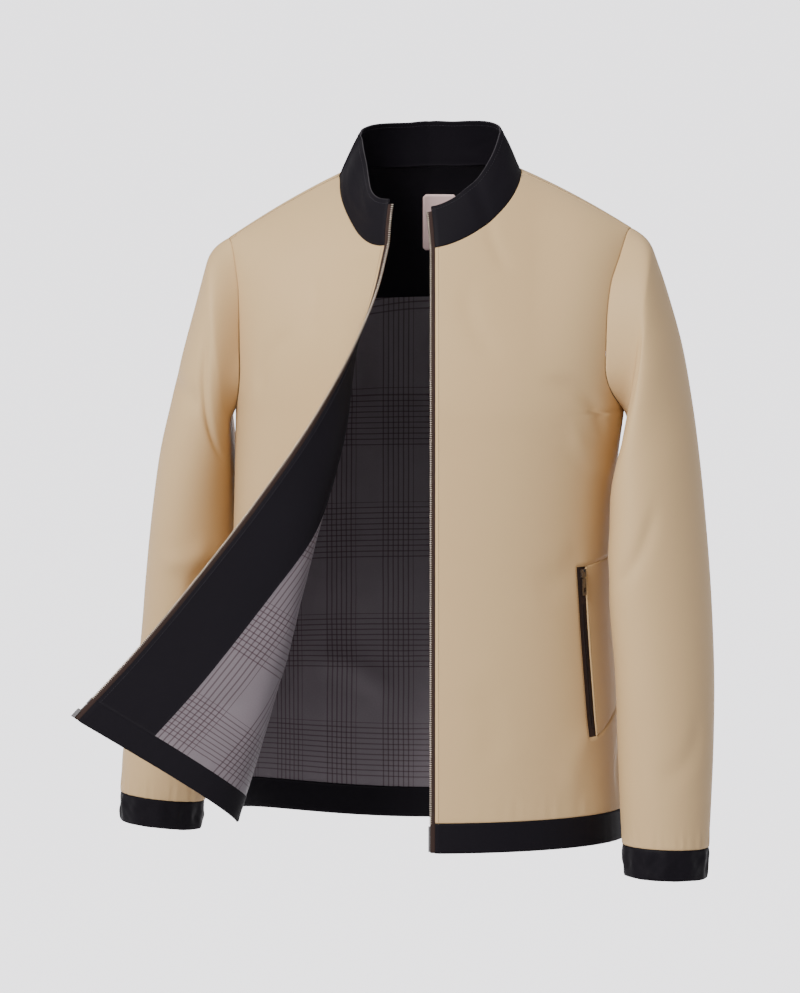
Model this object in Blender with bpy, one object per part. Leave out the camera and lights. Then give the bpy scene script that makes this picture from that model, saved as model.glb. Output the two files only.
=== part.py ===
"""Softshell jacket on an unseen wearer, unzipped, with the wearer's right front turned back.

Metres, +Z up.  The front of the jacket faces -Y and the wearer's left is +X.
The origin is where the shoulders carry the jacket: on the centre line, at the height of
the high points of the shoulders, midway between chest and back.
Every panel is a wall: its outer points lie on the cut of the garment, its inner points
are the same points moved in by the cloth's thickness.
"""
import math
from collections import namedtuple
from functools import partial

import bmesh
import bpy
import numpy as np

# ---------------------------------------------------------------- driving sizes, metres
GAP = 0.0003                  # open distance between two pieces at a seam
SHELL = 0.0012                # outer cloth
LINING = 0.0010               # lining and facings
BAND = 0.0028                 # hem band, two layers
CUFF = 0.0026                 # cuff, two layers
LAYER = SHELL + GAP           # depth of the lining's outer side below the shell's
BAND_GAP = 0.0004             # more than GAP / 2, because the band is thick where it rolls

HEM_Z = -0.686                # lower edge of the hem band
BAND_HEIGHT = 0.030
CHEST_Z = -0.245              # bottom of the armholes
FRONT_EDGE = 0.0052           # from the centre line to the edge of the shell cloth
FACING_WIDTH = 0.070          # from the centre line to the seam of facing and lining
ROLL_START = 5.0              # degrees before its side where it leaves the torso
SWELL_MOST = 1.25             # how far it may bow out there
START_BLEND = -0.20           # below this row it leaves by the side seam, not the armhole

RIDGE_TOP = 0.0385            # height of the shoulder line, carried on to the centre line
RIDGE_ROUND = 0.040           # where it rounds over there
RIDGE_SLOPE = 0.30
RIDGE_CURVE = 0.80
RIGHT_DROP = 0.05             # the wearer's right shoulder slopes a little more
RIDGE_BACK = 0.025            # how far behind the origin the shoulder line starts
RIDGE_FORWARD = 0.08          # and how it comes forward towards the shoulder point
SHOULDER_SPREAD = 0.0135      # the shoulders are wider than the chest
CHEST_POWER = 1.5             # roundness from the chest up to the shoulder line
SIDE_POWER = 2.0              # towards the armholes, and all over the back
SHOULDER_SEAM_ROW = 0.913     # the seam lies just in front of the shoulder line

NECK_HALF = 0.094             # half width of the neck opening
NECK_TOP_Z = -0.002
NECK_DROP = 0.0715            # depth of the front neck
NECK_POWER = 1.6
NECK_BACK_ROW = 0.730
NECK_BACK_HALF = 0.092

COLLAR_HEIGHT = 0.0465
COLLAR_LEAN_BACK = 17.0       # degrees in from upright at the centre back
COLLAR_LEAN_FRONT = 31.0      # and from the sides to the front
COLLAR_LEAN_END = 9.0         # but at the end on the turned-back front
COLLAR_TURN = 0.70            # share of the half collar over which its lean changes
END_REACH = 0.40              # share of the half collar that its right end straightens
COLLAR_ROUND = 0.0012         # swell of the stand between its seams

YOKE_Z = -0.139               # lower edge of the back neck facing
YOKE_REACH = 0.19             # and its half width there

POCKET_HALF = 0.0058          # half the width of the pocket zip
POCKET_TOP_Z = -0.400
POCKET_BOTTOM_Z = -0.576
POCKET_TOP_INSET = 0.088      # from the side seam to the middle of the zip
POCKET_BOTTOM_INSET = 0.082
SIDE_TOP_Z = -0.391           # where the seams of the side piece meet the side seam
SIDE_BOTTOM_Z = -0.545

TAPE_EDGE = 0.0002            # front zip tape, from the centre line
TAPE_OUT = 0.0004             # its outer side lies this deep below the shell's
TAPE_IN = 0.0021
ZIP_TOP = 0.88                # share of the collar's height that the tapes reach
STRIP_DEPTH = 0.0002          # the pocket zips lie this deep in the shell

LABEL_LEFT = -0.0072          # from the centre line, and heights
LABEL_RIGHT = 0.0278
LABEL_TOP = -0.029
LABEL_BOTTOM = -0.0888
LABEL_CLEAR = 0.0006          # open distance to the facing behind it
LABEL_THICK = 0.0010

# a slider's section, across the zip and out of the cloth, and its ends along the zip
SLIDER_PROFILE = ((-0.0030, 0.0003), (0.0030, 0.0003), (0.0030, 0.0032), (0.0016, 0.0032),
                  (0.0016, 0.0013), (-0.0016, 0.0013), (-0.0016, 0.0032), (-0.0030, 0.0032))
SLIDER_ENDS = (-0.0035, 0.0045)
HINGE_HEIGHT = 0.00255        # of the pull tab's axis over the cloth
ZIP_SLIDER_FROM_EDGE = 0.0012

# a pull tab: a tongue with a slot near its tip, and a stem between the slider's cheeks
PULL_THICK = 0.0012
PULL_COLUMNS = (-0.0028, -0.0013, 0.0013, 0.0028)
PULL_ROWS = (-0.0007, 0.0062, 0.0090, 0.0155, 0.0205, 0.0232)
PULL_CELLS = ((0, 1, 0), (1, 1, 1), (1, 1, 1), (1, 0, 1), (1, 1, 1))

# the torso's cut, by height: half width at the side, how far the turned-back front pulls
# the right side out, depth in front and behind
Girth = namedtuple("Girth", "height half_width pull front back")
TORSO = [
    Girth(-0.686, 0.203, 0.000, 0.142, 0.130),
    Girth(-0.550, 0.195, 0.006, 0.140, 0.126),
    Girth(-0.400, 0.189, 0.014, 0.138, 0.125),
    Girth(-0.310, 0.192, 0.009, 0.137, 0.129),
    Girth(-0.245, 0.200, 0.000, 0.135, 0.133),
]
RIGHT_LIFT = 0.026            # the turned-back front lifts the hem at the right side seam
LIFT_TOP = -0.400             # and the side down from this height

# the armhole seams, as degrees round from the centre line, by row (0 chest, 1 shoulder)
Armhole = namedtuple("Armhole", "row front_left front_right back")
ARMHOLE = [
    Armhole(0.00, 62.0, 75.0, 64.0),
    Armhole(0.20, 62.3, 74.5, 64.5),
    Armhole(0.37, 62.4, 73.0, 66.0),
    Armhole(0.48, 64.1, 72.5, 67.5),
    Armhole(0.59, 68.2, 73.5, 69.5),
    Armhole(1.00, 76.4, 76.4, 76.4),
]
ARMHOLE_FOOT = 0.052          # height over which the armhole turns under the arm

# the turned-back right front, by the height of the same point on the closed front:
# where the cloth rolls over, the way it heads there, and where its zip edge lies
Turn = namedtuple("Turn", "height roll_x roll_y roll_z heading climb edge_x edge_y edge_z")
TURNED = [
    Turn(-0.686, -0.199, -0.078, -0.662, 92, 18, -0.363, -0.097, -0.553),
    Turn(-0.580, -0.170, -0.108, -0.566, 92, 17, -0.295, -0.126, -0.476),
    Turn(-0.480, -0.141, -0.135, -0.457, 92, 15, -0.232, -0.155, -0.397),
    Turn(-0.380, -0.115, -0.158, -0.353, 90, 12, -0.174, -0.182, -0.319),
    Turn(-0.275, -0.088, -0.165, -0.254, 86, 9, -0.118, -0.200, -0.235),
    Turn(-0.175, -0.080, -0.152, -0.166, 66, 5, -0.073, -0.190, -0.152),
    Turn(-0.120, -0.078, -0.126, -0.117, 50, 2, -0.054, -0.154, -0.106),
    Turn(-0.0735, -0.080, -0.092, -0.079, 38, 0, -0.0435, -0.113, -0.067),
]

# the sleeves, by station down the arm: outline seen from the front, middle and half
# depth seen from the side, and the turn of the section about the arm
Arm = namedtuple("Arm", "station outer_x outer_z inner_x inner_z middle_y half_depth turn")
SLEEVE_LEFT = [
    Arm(1, 0.2307, -0.083, 0.2030, -0.268, -0.002, 0.064, 22),
    Arm(2, 0.2462, -0.124, 0.1975, -0.292, -0.011, 0.066, 34),
    Arm(3, 0.2606, -0.174, 0.1910, -0.312, -0.022, 0.067, 38),
    Arm(4, 0.2705, -0.232, 0.1845, -0.335, -0.034, 0.066, 38),
    Arm(5, 0.2775, -0.292, 0.1830, -0.365, -0.047, 0.063, 32),
    Arm(6, 0.2834, -0.357, 0.1815, -0.400, -0.058, 0.060, 28),
    Arm(7, 0.2884, -0.427, 0.1835, -0.446, -0.066, 0.057, 24),
    Arm(8, 0.2915, -0.510, 0.1890, -0.512, -0.073, 0.053, 18),
    Arm(9, 0.2908, -0.580, 0.1915, -0.578, -0.077, 0.049, 12),
    Arm(10, 0.2884, -0.640, 0.1940, -0.638, -0.080, 0.045, 8),
    Arm(11, 0.2858, -0.6885, 0.1965, -0.6845, -0.082, 0.041, 4),
]
SLEEVE_RIGHT = [
    Arm(1, 0.2300, -0.095, 0.2040, -0.266, 0.010, 0.064, -16),
    Arm(2, 0.2420, -0.138, 0.2010, -0.288, 0.014, 0.067, -24),
    Arm(3, 0.2540, -0.182, 0.1985, -0.310, 0.019, 0.068, -26),
    Arm(4, 0.2665, -0.235, 0.1970, -0.333, 0.025, 0.066, -26),
    Arm(5, 0.2785, -0.290, 0.1965, -0.362, 0.032, 0.063, -24),
    Arm(6, 0.2877, -0.360, 0.1975, -0.400, 0.040, 0.060, -20),
    Arm(7, 0.2940, -0.422, 0.2010, -0.442, 0.048, 0.057, -14),
    Arm(8, 0.3000, -0.490, 0.2075, -0.498, 0.057, 0.053, -8),
    Arm(9, 0.3085, -0.550, 0.2165, -0.556, 0.068, 0.049, -4),
    Arm(10, 0.3190, -0.605, 0.2290, -0.613, 0.080, 0.045, 0),
    Arm(11, 0.3224, -0.6550, 0.2345, -0.6640, 0.092, 0.041, 0),
]
CUFF_HEIGHT = 0.031
CUFF_GATHERS = 13             # soft gathers round each elastic cuff
CUFF_GATHER_DEPTH = 0.0008
CUFF_TAPER = 0.03             # the cuffs narrow by this share of their radius

# grid of the panels: cells across and up
FACING_CELLS = 3
CHEST_CELLS = 5
SIDE_CELLS = 3                # between pocket zip and side seam
BACK_CELLS = 10
ROLL_CELLS = 6                # of a turned-back front, those that bend with its roll
NECK_CELLS = 5                # of the cells across, those that end on the neck seam

CLOTH = "cloth"
BLACK = "black_cloth"
CHECK = "checked_lining"
METAL = "gunmetal"
TAPE = "zip_tape"
SATIN = "label_satin"


# ---------------------------------------------------------------- curves and sections
def through(rows, column):
    """Smooth curve through one column of a table, read at any value of its first column."""
    at = np.array([row[0] for row in rows], float)
    value = np.array([getattr(row, column) for row in rows], float)
    slope = np.gradient(value, at)

    def read(s):
        k = int(np.clip(np.searchsorted(at, s) - 1, 0, len(at) - 2))
        span = at[k + 1] - at[k]
        t = (s - at[k]) / span
        if t < 0:
            return value[0] + slope[0] * (s - at[0])
        if t > 1:
            return value[-1] + slope[-1] * (s - at[-1])
        a = 2 * t ** 3 - 3 * t ** 2 + 1
        b = t ** 3 - 2 * t ** 2 + t
        c = t ** 3 - t ** 2
        return a * value[k] + b * span * slope[k] + (1 - a) * value[k + 1] + c * span * slope[k + 1]
    return read


def smooth(t):
    t = min(max(t, 0.0), 1.0)
    return t * t * (3 - 2 * t)


half_width = through(TORSO, "half_width")
side_pull = through(TORSO, "pull")
front_depth = through(TORSO, "front")
back_depth = through(TORSO, "back")
armhole_left = through(ARMHOLE, "front_left")
armhole_right = through(ARMHOLE, "front_right")
armhole_back = through(ARMHOLE, "back")
turned = {name: through(TURNED, name) for name in Turn._fields[1:]}


def ridge_z(side, x):
    """Height of the shoulder line at a distance x from the centre."""
    drop = RIGHT_DROP * x if side < 0 else 0.0
    return RIDGE_TOP - RIDGE_SLOPE * math.hypot(x, RIDGE_ROUND) - RIDGE_CURVE * x * x - drop


def half_reach(side, row):
    """Distance from the centre line to the side of the torso, on a row."""
    z = CHEST_Z + min(row, 0)
    pull = side_pull(z) if side < 0 and row < 0 else 0.0
    return half_width(z) + pull + SHOULDER_SPREAD * max(min(row, 2 - row), 0)


def torso(side, angle, row):
    """A point of the closed torso.

    angle: degrees round from the centre front (0) past the side (90) to the centre back.
    row: metres below the chest where negative; above it the share of the rise, with 1 on
    the shoulder line, and over 1 on the far side of it.
    """
    if row > 1:
        return torso(side, 180 - angle, 2 - row)
    front = angle <= 90
    turn = math.radians(angle if front else 180 - angle)
    z = CHEST_Z + min(row, 0)
    x = half_reach(side, row) * math.sin(turn)
    y = (-front_depth(z) if front else back_depth(z)) * math.cos(turn)
    if row > 0:
        out = smooth(2 * math.sin(turn) - 1) if front else 1
        share = 2 / (CHEST_POWER + (SIDE_POWER - CHEST_POWER) * out)
        rise = row * math.pi / 2
        ridge_y = RIDGE_BACK - RIDGE_FORWARD * abs(x)
        y = ridge_y + (y - ridge_y) * max(math.cos(rise), 0) ** share
        z = CHEST_Z + (ridge_z(side, abs(x)) - CHEST_Z) * math.sin(rise) ** share
    elif side < 0:
        low = smooth((LIFT_TOP - z) / (LIFT_TOP - HEM_Z))
        z += RIGHT_LIFT * low * math.sin(turn) ** 2
    return np.array((side * x, y, z))


def front_row_at(side, x, z):
    """The row that passes through height z at distance x from the centre, on the front."""
    share = (z - CHEST_Z) / (ridge_z(side, x) - CHEST_Z)
    return math.asin(min(share, 1) ** (CHEST_POWER / 2)) * 2 / math.pi


def back_row_at(side, x, z):
    share = (z - CHEST_Z) / (ridge_z(side, x) - CHEST_Z)
    return math.asin(min(share, 1) ** (SIDE_POWER / 2)) * 2 / math.pi


def end_angle(side, front, row):
    """Where a front or the back ends: the side seam, or the armhole above the chest."""
    if row > 1:
        return end_angle(side, not front, 2 - row)
    if row <= 0:
        return 90.0
    seam = armhole_back if not front else armhole_left if side > 0 else armhole_right
    upper = seam(min(row, 1))
    rise = torso(side, upper if front else 180 - upper, row)[2] - CHEST_Z
    k = 1 - min(rise / ARMHOLE_FOOT, 1)
    return upper + (90 - upper) * (1 - math.sqrt(1 - k * k))


def level(side, row):
    """Height of a row at the centre front of the closed jacket."""
    return torso(side, 0, row)[2]


STEPS = 72
ring_cache = {}


def closed_ring(side, front, row):
    """Angles and lengths along a row, from the centre line out past the end of the panel."""
    key = (side, front, round(row, 7))
    if key not in ring_cache:
        last = end_angle(side, front, row)
        angles = np.concatenate((np.linspace(-6, 0, 4)[:-1], np.linspace(0, last, STEPS),
                                 np.linspace(last, last + 8, 6)[1:]))
        points = np.array([torso(side, a if front else 180 - a, row) for a in angles])
        steps = np.linalg.norm(np.diff(points, axis=0), axis=1)
        length = np.concatenate(((0,), np.cumsum(steps)))
        length -= length[3]
        ring_cache[key] = (angles, length, length[2 + STEPS])
    return ring_cache[key]


def closed_front(side, row, u):
    """Point of the closed front, u metres of cloth from the centre line."""
    angles, length, _ = closed_ring(side, True, row)
    return torso(side, np.interp(u, length, angles), row)


def front_width(side, row):
    return closed_ring(side, True, row)[2]


def back_width(side, row):
    return closed_ring(side, False, row)[2]


def back_point(row, v):
    """Point of the back, v metres of cloth from the centre line, negative to the right."""
    side = 1 if v >= 0 else -1
    angles, length, _ = closed_ring(side, False, row)
    angle = np.interp(abs(v), length, angles)
    return torso(side, 180 - angle, row)


def between(start, start_way, end, end_way, t):
    """Smooth way from start to end at t, leaving and arriving in the given ways."""
    a = 2 * t ** 3 - 3 * t ** 2 + 1
    b = t ** 3 - 2 * t ** 2 + t
    c = t ** 3 - t ** 2
    return a * start + b * start_way + (1 - a) * end + c * end_way


def hermite(start, start_way, end, end_way, count):
    return between(start, start_way, end, end_way, np.linspace(0, 1, count)[:, None])


def length_of(points):
    return float(np.linalg.norm(np.diff(points, axis=0), axis=1).sum())


def roll_path(row, leave, swell):
    """The turned-back part of a row, from where it leaves the closed front to its edge.

    swell says how far it bows out on its way to the roll.
    """
    side = -1
    height = level(side, row)
    foot = closed_front(side, row, leave)
    way = closed_front(side, row, leave - 0.002) - closed_front(side, row, leave + 0.002)
    way /= np.linalg.norm(way)
    at = {name: read(height) for name, read in turned.items()}
    roll = np.array((at["roll_x"], at["roll_y"], at["roll_z"]))
    edge = np.array((at["edge_x"], at["edge_y"], at["edge_z"]))
    heading = math.radians(at["heading"])
    climb = math.radians(at["climb"])
    over = np.array((math.cos(heading) * math.cos(climb), -math.sin(heading) * math.cos(climb),
                     math.sin(climb)))
    first = np.linalg.norm(roll - foot) * swell
    second = np.linalg.norm(edge - roll)
    out = hermite(foot, way * first, roll, over * first, 40)
    last_way = 1.5 * (edge - roll) - 0.5 * over * second
    back = hermite(roll, over * second, edge, last_way, 50)
    return np.vstack((out, back[1:]))


def halve(excess, low, high):
    """The value at which excess changes sign, between low and high."""
    rising = excess(high) > excess(low)
    for _ in range(24):
        middle = (low + high) / 2
        if (excess(middle) > 0) == rising:
            high = middle
        else:
            low = middle
    return (low + high) / 2


turned_cache = {}


def turned_row(row):
    """Points along a row of the turned-back front and their distance from the centre line."""
    key = round(row, 7)
    if key not in turned_cache:
        width = front_width(-1, row)
        angles, length, _ = closed_ring(-1, True, row)
        upper = armhole_right(min(max(row, 0), 1))
        start = upper + (90 - upper) * smooth(row / START_BLEND)
        leave = float(np.interp(start - ROLL_START, angles, length))
        swell = halve(lambda k: length_of(roll_path(row, leave, k)) - leave, 0.2, SWELL_MOST)
        rolled = roll_path(row, leave, swell)[::-1]
        steps = np.linalg.norm(np.diff(rolled, axis=0), axis=1)
        along = np.concatenate(((0,), np.cumsum(steps)))
        along *= leave / along[-1]
        flat = np.arange(leave + 0.003, width + 0.012, 0.003)
        rest = np.array([closed_front(-1, row, u) for u in flat])
        turned_cache[key] = (np.concatenate((along, flat)), np.vstack((rolled, rest)))
    return turned_cache[key]


NECK_ROW = front_row_at(1, 0.0, NECK_TOP_Z - NECK_DROP)


def turned_front(row, u):
    """Point of the turned-back right front, u metres of cloth from the centre line."""
    if row > NECK_ROW:
        fade = 1 - smooth((row - NECK_ROW) / (SHOULDER_SEAM_ROW - NECK_ROW))
        shift = turned_front(NECK_ROW, u) - closed_front(-1, NECK_ROW, u)
        return closed_front(-1, row, u) + fade * shift
    lengths, points = turned_row(row)
    if u < 0:
        way = points[0] - points[1]
        return points[0] + way / np.linalg.norm(way) * -u
    return np.array([np.interp(u, lengths, points[:, k]) for k in range(3)])


def front_point(side, row, u):
    return closed_front(side, row, u) if side > 0 else turned_front(row, u)


REACH = 0.0015                # half the distance over which a slope is taken


def normal_at(surface, row, u, side):
    """Outward direction of a surface at a row and a distance across."""
    step = 0.003 if row > 0 else REACH
    up = surface(min(row + step, 1.6), u) - surface(row - step, u)
    across = surface(row, u + REACH) - surface(row, u - REACH)
    out = np.cross(across, up) * side
    return out / np.linalg.norm(out)


def front_frame(side, row, u):
    def surface(r, d):
        return front_point(side, r, d)
    return front_point(side, row, u), normal_at(surface, row, u, side)


def back_frame(row, v):
    return back_point(row, v), normal_at(back_point, row, v, -1)


# ---------------------------------------------------------------- grids of the panels
def neck_front_z(x):
    """Height of the front neck seam at a distance x from the centre."""
    return NECK_TOP_Z - NECK_DROP * max(1 - (x / NECK_HALF) ** NECK_POWER, 0) ** (1 / NECK_POWER)


def cloth_to(side, front, x, row):
    """Cloth from the centre line to a distance x, along a row of the closed jacket."""
    angles, length, _ = closed_ring(side, front, row)
    angle = math.degrees(math.asin(min(x / half_reach(side, row), 1)))
    return float(np.interp(angle, angles, length))


def pocket_line(side, z):
    """Cloth from the centre line to the middle of the pocket zip, at height z."""
    t = (POCKET_TOP_Z - z) / (POCKET_TOP_Z - POCKET_BOTTOM_Z)
    inset = POCKET_TOP_INSET + (POCKET_BOTTOM_INSET - POCKET_TOP_INSET) * t
    return front_width(side, z - CHEST_Z) - inset


BAND_SEAM_Z = HEM_Z + BAND_HEIGHT
LOW_ROWS = [z - CHEST_Z for z in (BAND_SEAM_Z, -0.628, -0.601)]             # band to pocket
POCKET_ROWS = [z - CHEST_Z for z in np.linspace(POCKET_BOTTOM_Z, POCKET_TOP_Z, 7)]
HIGH_ROWS = [z - CHEST_Z for z in (-0.369, -0.336, -0.304, -0.273, CHEST_Z)]  # to the chest
ROWS_BELOW = LOW_ROWS + POCKET_ROWS + HIGH_ROWS
FIRST_POCKET = len(LOW_ROWS)
LAST_POCKET = FIRST_POCKET + len(POCKET_ROWS) - 1
UPPER_SHARES = (0.045, 0.10, 0.18, 0.28, 0.40, 0.53, 0.67, 0.83, 1.0)  # front, chest to top
YOKE_SHARES = (0.05, 0.20, 0.55, 1.0)          # back, chest to the neck facing
NECK_SHARES = (0.25, 0.50, 0.73, 0.90, 1.0)    # and on over the shoulder line
ZIP_COLUMN = FACING_CELLS + CHEST_CELLS
CELLS_ACROSS = ZIP_COLUMN + 1 + SIDE_CELLS


def column_shares():
    """Share of the width at each column of a front, at the chest."""
    width = front_width(1, 0.0) - FRONT_EDGE
    facing = np.linspace(0, (FACING_WIDTH - FRONT_EDGE) / width, FACING_CELLS + 1)
    chest = np.linspace(facing[-1], 0.66, CHEST_CELLS + 1)[1:]
    sides = np.linspace(0.70, 1, SIDE_CELLS + 1)
    return np.concatenate((facing, chest, sides))


SHARES = column_shares()


def seam_lift(i, k):
    """Rise of a grid row between the pocket zip (k = 0) and the side seam (k = 1)."""
    below = (SIDE_BOTTOM_Z - POCKET_BOTTOM_Z) * math.sin(k * math.pi / 2) ** 1.3
    above = (SIDE_TOP_Z - POCKET_TOP_Z) * k
    if i <= FIRST_POCKET:
        return below * (i / FIRST_POCKET) ** 2
    if i <= LAST_POCKET:
        t = (i - FIRST_POCKET) / (LAST_POCKET - FIRST_POCKET)
        return below * (1 - t) + above * t
    return above * (1 - (i - LAST_POCKET) / len(HIGH_ROWS))


def low_place(side, i, j):
    """Row and distance from the centre line of a grid point of a front, below the chest."""
    row = ROWS_BELOW[i]
    z = CHEST_Z + row
    width = front_width(side, row)
    blend = smooth((z - POCKET_TOP_Z) / (CHEST_Z - POCKET_TOP_Z))
    if j <= FACING_CELLS:
        return row, FRONT_EDGE + (FACING_WIDTH - FRONT_EDGE) * j / FACING_CELLS
    sides = [pocket_line(side, z) + way * POCKET_HALF for way in (-1, 1)]
    for n in range(2):
        at_chest = FRONT_EDGE + (width - FRONT_EDGE) * SHARES[ZIP_COLUMN + n]
        sides[n] += blend * (at_chest - sides[n])
    if j <= ZIP_COLUMN:
        return row, FACING_WIDTH + (sides[0] - FACING_WIDTH) * (j - FACING_CELLS) / CHEST_CELLS
    k = (j - ZIP_COLUMN - 1) / SIDE_CELLS
    row += seam_lift(i, k)
    return row, sides[1] + (front_width(side, row) - sides[1]) * k


def top_place(side, j):
    """Row and distance of the top of a front's column, on the neck or shoulder seam."""
    if j < NECK_CELLS:
        x = FRONT_EDGE + (NECK_HALF - FRONT_EDGE) * math.sin(j / NECK_CELLS * math.pi / 2)
        row = min(front_row_at(side, x, neck_front_z(x)), SHOULDER_SEAM_ROW)
        return row, cloth_to(side, True, x, row)
    row = SHOULDER_SEAM_ROW
    start = cloth_to(side, True, NECK_HALF, row)
    t = (j - NECK_CELLS) / (CELLS_ACROSS - NECK_CELLS)
    return row, start + (front_width(side, row) - start) * t


def front_places(side):
    """Rows and distances of all grid points of a front, band seam to shoulder."""
    places = [[low_place(side, i, j) for j in range(CELLS_ACROSS + 1)]
              for i in range(len(ROWS_BELOW))]
    for t in UPPER_SHARES:
        line = []
        for j in range(CELLS_ACROSS + 1):
            top_row, top_u = top_place(side, j)
            row = top_row * t
            room = front_width(side, row) - FRONT_EDGE
            top_share = (top_u - FRONT_EDGE) / (front_width(side, top_row) - FRONT_EDGE)
            share = SHARES[j] + (top_share - SHARES[j]) * t ** 1.5
            line.append((row, FRONT_EDGE + room * share))
        places.append(line)
    return places


def back_top_place(side, j):
    """Row and share of the width of the top of a back column, j cells from the centre."""
    start = cloth_to(side, True, NECK_HALF, SHOULDER_SEAM_ROW)
    start /= front_width(side, SHOULDER_SEAM_ROW)
    if j < NECK_CELLS:
        x = NECK_BACK_HALF * math.sin(j / NECK_CELLS * math.pi / 2)
        row = NECK_BACK_ROW + (1 - NECK_BACK_ROW) * (x / NECK_BACK_HALF) ** 2.2
        return row, cloth_to(side, False, x, row) / back_width(side, row)
    t = (j - NECK_CELLS) / (BACK_CELLS - NECK_CELLS)
    return 2 - SHOULDER_SEAM_ROW, start + (1 - start) * t


def back_places():
    """Rows and signed distances of the back's grid, band seam to shoulder and neck."""
    spread = np.linspace(-1, 1, 2 * BACK_CELLS + 1)
    places = [[(row, s * back_width(1 if s >= 0 else -1, row)) for s in spread]
              for row in ROWS_BELOW]
    climbs = [(False, share) for share in YOKE_SHARES] + [(True, share) for share in NECK_SHARES]
    for i, (above_yoke, climb) in enumerate(climbs, 1):
        line = []
        for n, s in enumerate(spread):
            side = 1 if s >= 0 else -1
            top_row, top_share = back_top_place(side, abs(n - BACK_CELLS))
            yoke = back_row_at(side, YOKE_REACH * abs(s), YOKE_Z)
            row = yoke + (top_row - yoke) * climb if above_yoke else yoke * climb
            across = abs(s) + (top_share - abs(s)) * (i / len(climbs)) ** 1.5
            line.append((row, side * back_width(side, row) * across))
        places.append(line)
    return places


# ---------------------------------------------------------------- walls
def frames(places, frame):
    """Points and outward directions of a grid of places."""
    both = [[frame(*place) for place in line] for line in places]
    return (np.array([[p for p, _ in line] for line in both]),
            np.array([[n for _, n in line] for line in both]))


def part_of(grid, rows, columns):
    points, out = grid
    return points[rows, columns].copy(), out[rows, columns].copy()


EDGES = (("b", np.s_[0], np.s_[1]), ("t", np.s_[-1], np.s_[-2]),
         ("l", np.s_[:, 0], np.s_[:, 1]), ("r", np.s_[:, -1], np.s_[:, -2]))


def pull_in(grid, edges, amount=GAP / 2):
    """Move the named edges of a grid into the piece: b(ottom), t(op), l(eft), r(ight)."""
    points, _ = grid
    for name, edge, inner in EDGES:
        if name in edges:
            way = points[inner] - points[edge]
            points[edge] += way / np.linalg.norm(way, axis=-1, keepdims=True) * amount
    return grid


COLOURS = {                   # colour, roughness, metallic
    CLOTH: ((0.58, 0.46, 0.32, 1), 0.62, 0.0),
    BLACK: ((0.012, 0.011, 0.014, 1), 0.72, 0.0),
    CHECK: ((0.16, 0.13, 0.15, 1), 0.60, 0.0),
    METAL: ((0.06, 0.055, 0.05, 1), 0.35, 1.0),
    TAPE: ((0.03, 0.02, 0.018, 1), 0.75, 0.0),
    SATIN: ((0.62, 0.42, 0.42, 1), 0.40, 0.0),
}
MATERIALS = {}
for old in list(bpy.data.objects):
    bpy.data.objects.remove(old, do_unlink=True)
for kind, (colour, roughness, metallic) in COLOURS.items():
    MATERIALS[kind] = bpy.data.materials.new(kind)
    MATERIALS[kind].use_nodes = True
    shader = MATERIALS[kind].node_tree.nodes["Principled BSDF"]
    shader.inputs["Base Color"].default_value = colour
    shader.inputs["Roughness"].default_value = roughness
    shader.inputs["Metallic"].default_value = metallic


def solid(name, corners, faces, material, origin=(0, 0, 0)):
    mesh = bpy.data.meshes.new(name)
    mesh.from_pydata([tuple(c) for c in np.asarray(corners) - np.asarray(origin)], [], faces)
    body = bmesh.new()
    body.from_mesh(mesh)
    bmesh.ops.recalc_face_normals(body, faces=body.faces)
    body.to_mesh(mesh)
    body.free()
    mesh.shade_smooth()
    mesh.set_sharp_from_angle(angle=math.radians(40))
    mesh.materials.append(MATERIALS[material])
    piece = bpy.data.objects.new(name, mesh)
    piece.location = origin
    bpy.context.scene.collection.objects.link(piece)


def wall(name, grid, depth, thickness, material, present=None, tube=False, origin=(0, 0, 0)):
    """A wall on a grid: its outer side lies depth below the grid.

    present says which cells are there; tube joins the last column to the first.
    """
    points, out = grid
    rows, columns = points.shape[:2]
    cells = columns if tube else columns - 1
    if present is None:
        present = np.ones((rows - 1, cells), bool)
    layers = (points - out * depth, points - out * (depth + thickness))
    used = {}
    corners = []

    def corner(layer, i, j):
        key = (layer, i, j % columns)
        if key not in used:
            used[key] = len(corners)
            corners.append(layers[layer][i, j % columns])
        return used[key]

    def there(i, j):
        if tube:
            j %= cells
        return 0 <= i < rows - 1 and 0 <= j < cells and present[i, j]

    faces = []
    for i in range(rows - 1):
        for j in range(cells):
            if not present[i, j]:
                continue
            around = ((i, j), (i, j + 1), (i + 1, j + 1), (i + 1, j))
            for half in (around[:3], around[2:] + around[:1]):
                faces.append([corner(0, *c) for c in half])
                faces.append([corner(1, *c) for c in reversed(half)])
            beyond = ((i - 1, j), (i, j + 1), (i + 1, j), (i, j - 1))
            for n, cell in enumerate(beyond):
                if not there(*cell):
                    a, b = around[n], around[(n + 1) % 4]
                    faces.append([corner(0, *b), corner(0, *a), corner(1, *a), corner(1, *b)])
    solid(name, corners, faces, material, origin)


# ---------------------------------------------------------------- fronts, pockets, facings
SIDES = {1: "left", -1: "right"}
EVERY = slice(None)
POCKET = slice(FIRST_POCKET, LAST_POCKET + 1)
fronts = {}
edges = {}                    # places and directions up the front edges, from the hem


def hem_row(places, width):
    """Places of the hem, straight below the band seam, in step with the cloth's width."""
    below = []
    for row, u in places:
        side = 1 if u >= 0 else -1
        below.append((row - BAND_HEIGHT, u * width(side, row - BAND_HEIGHT) / width(side, row)))
    return below


def evened(grid):
    """The turned-back front takes its directions from its own cells as far as its roll."""
    points, out = grid
    own = np.cross(np.gradient(points, axis=0), np.gradient(points, axis=1))
    own /= np.linalg.norm(own, axis=2, keepdims=True)
    share = np.array([smooth(j / ROLL_CELLS) for j in range(CELLS_ACROSS + 1)])[:, None]
    out = own * (1 - share) + out * share
    return points, out / np.linalg.norm(out, axis=2, keepdims=True)


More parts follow.
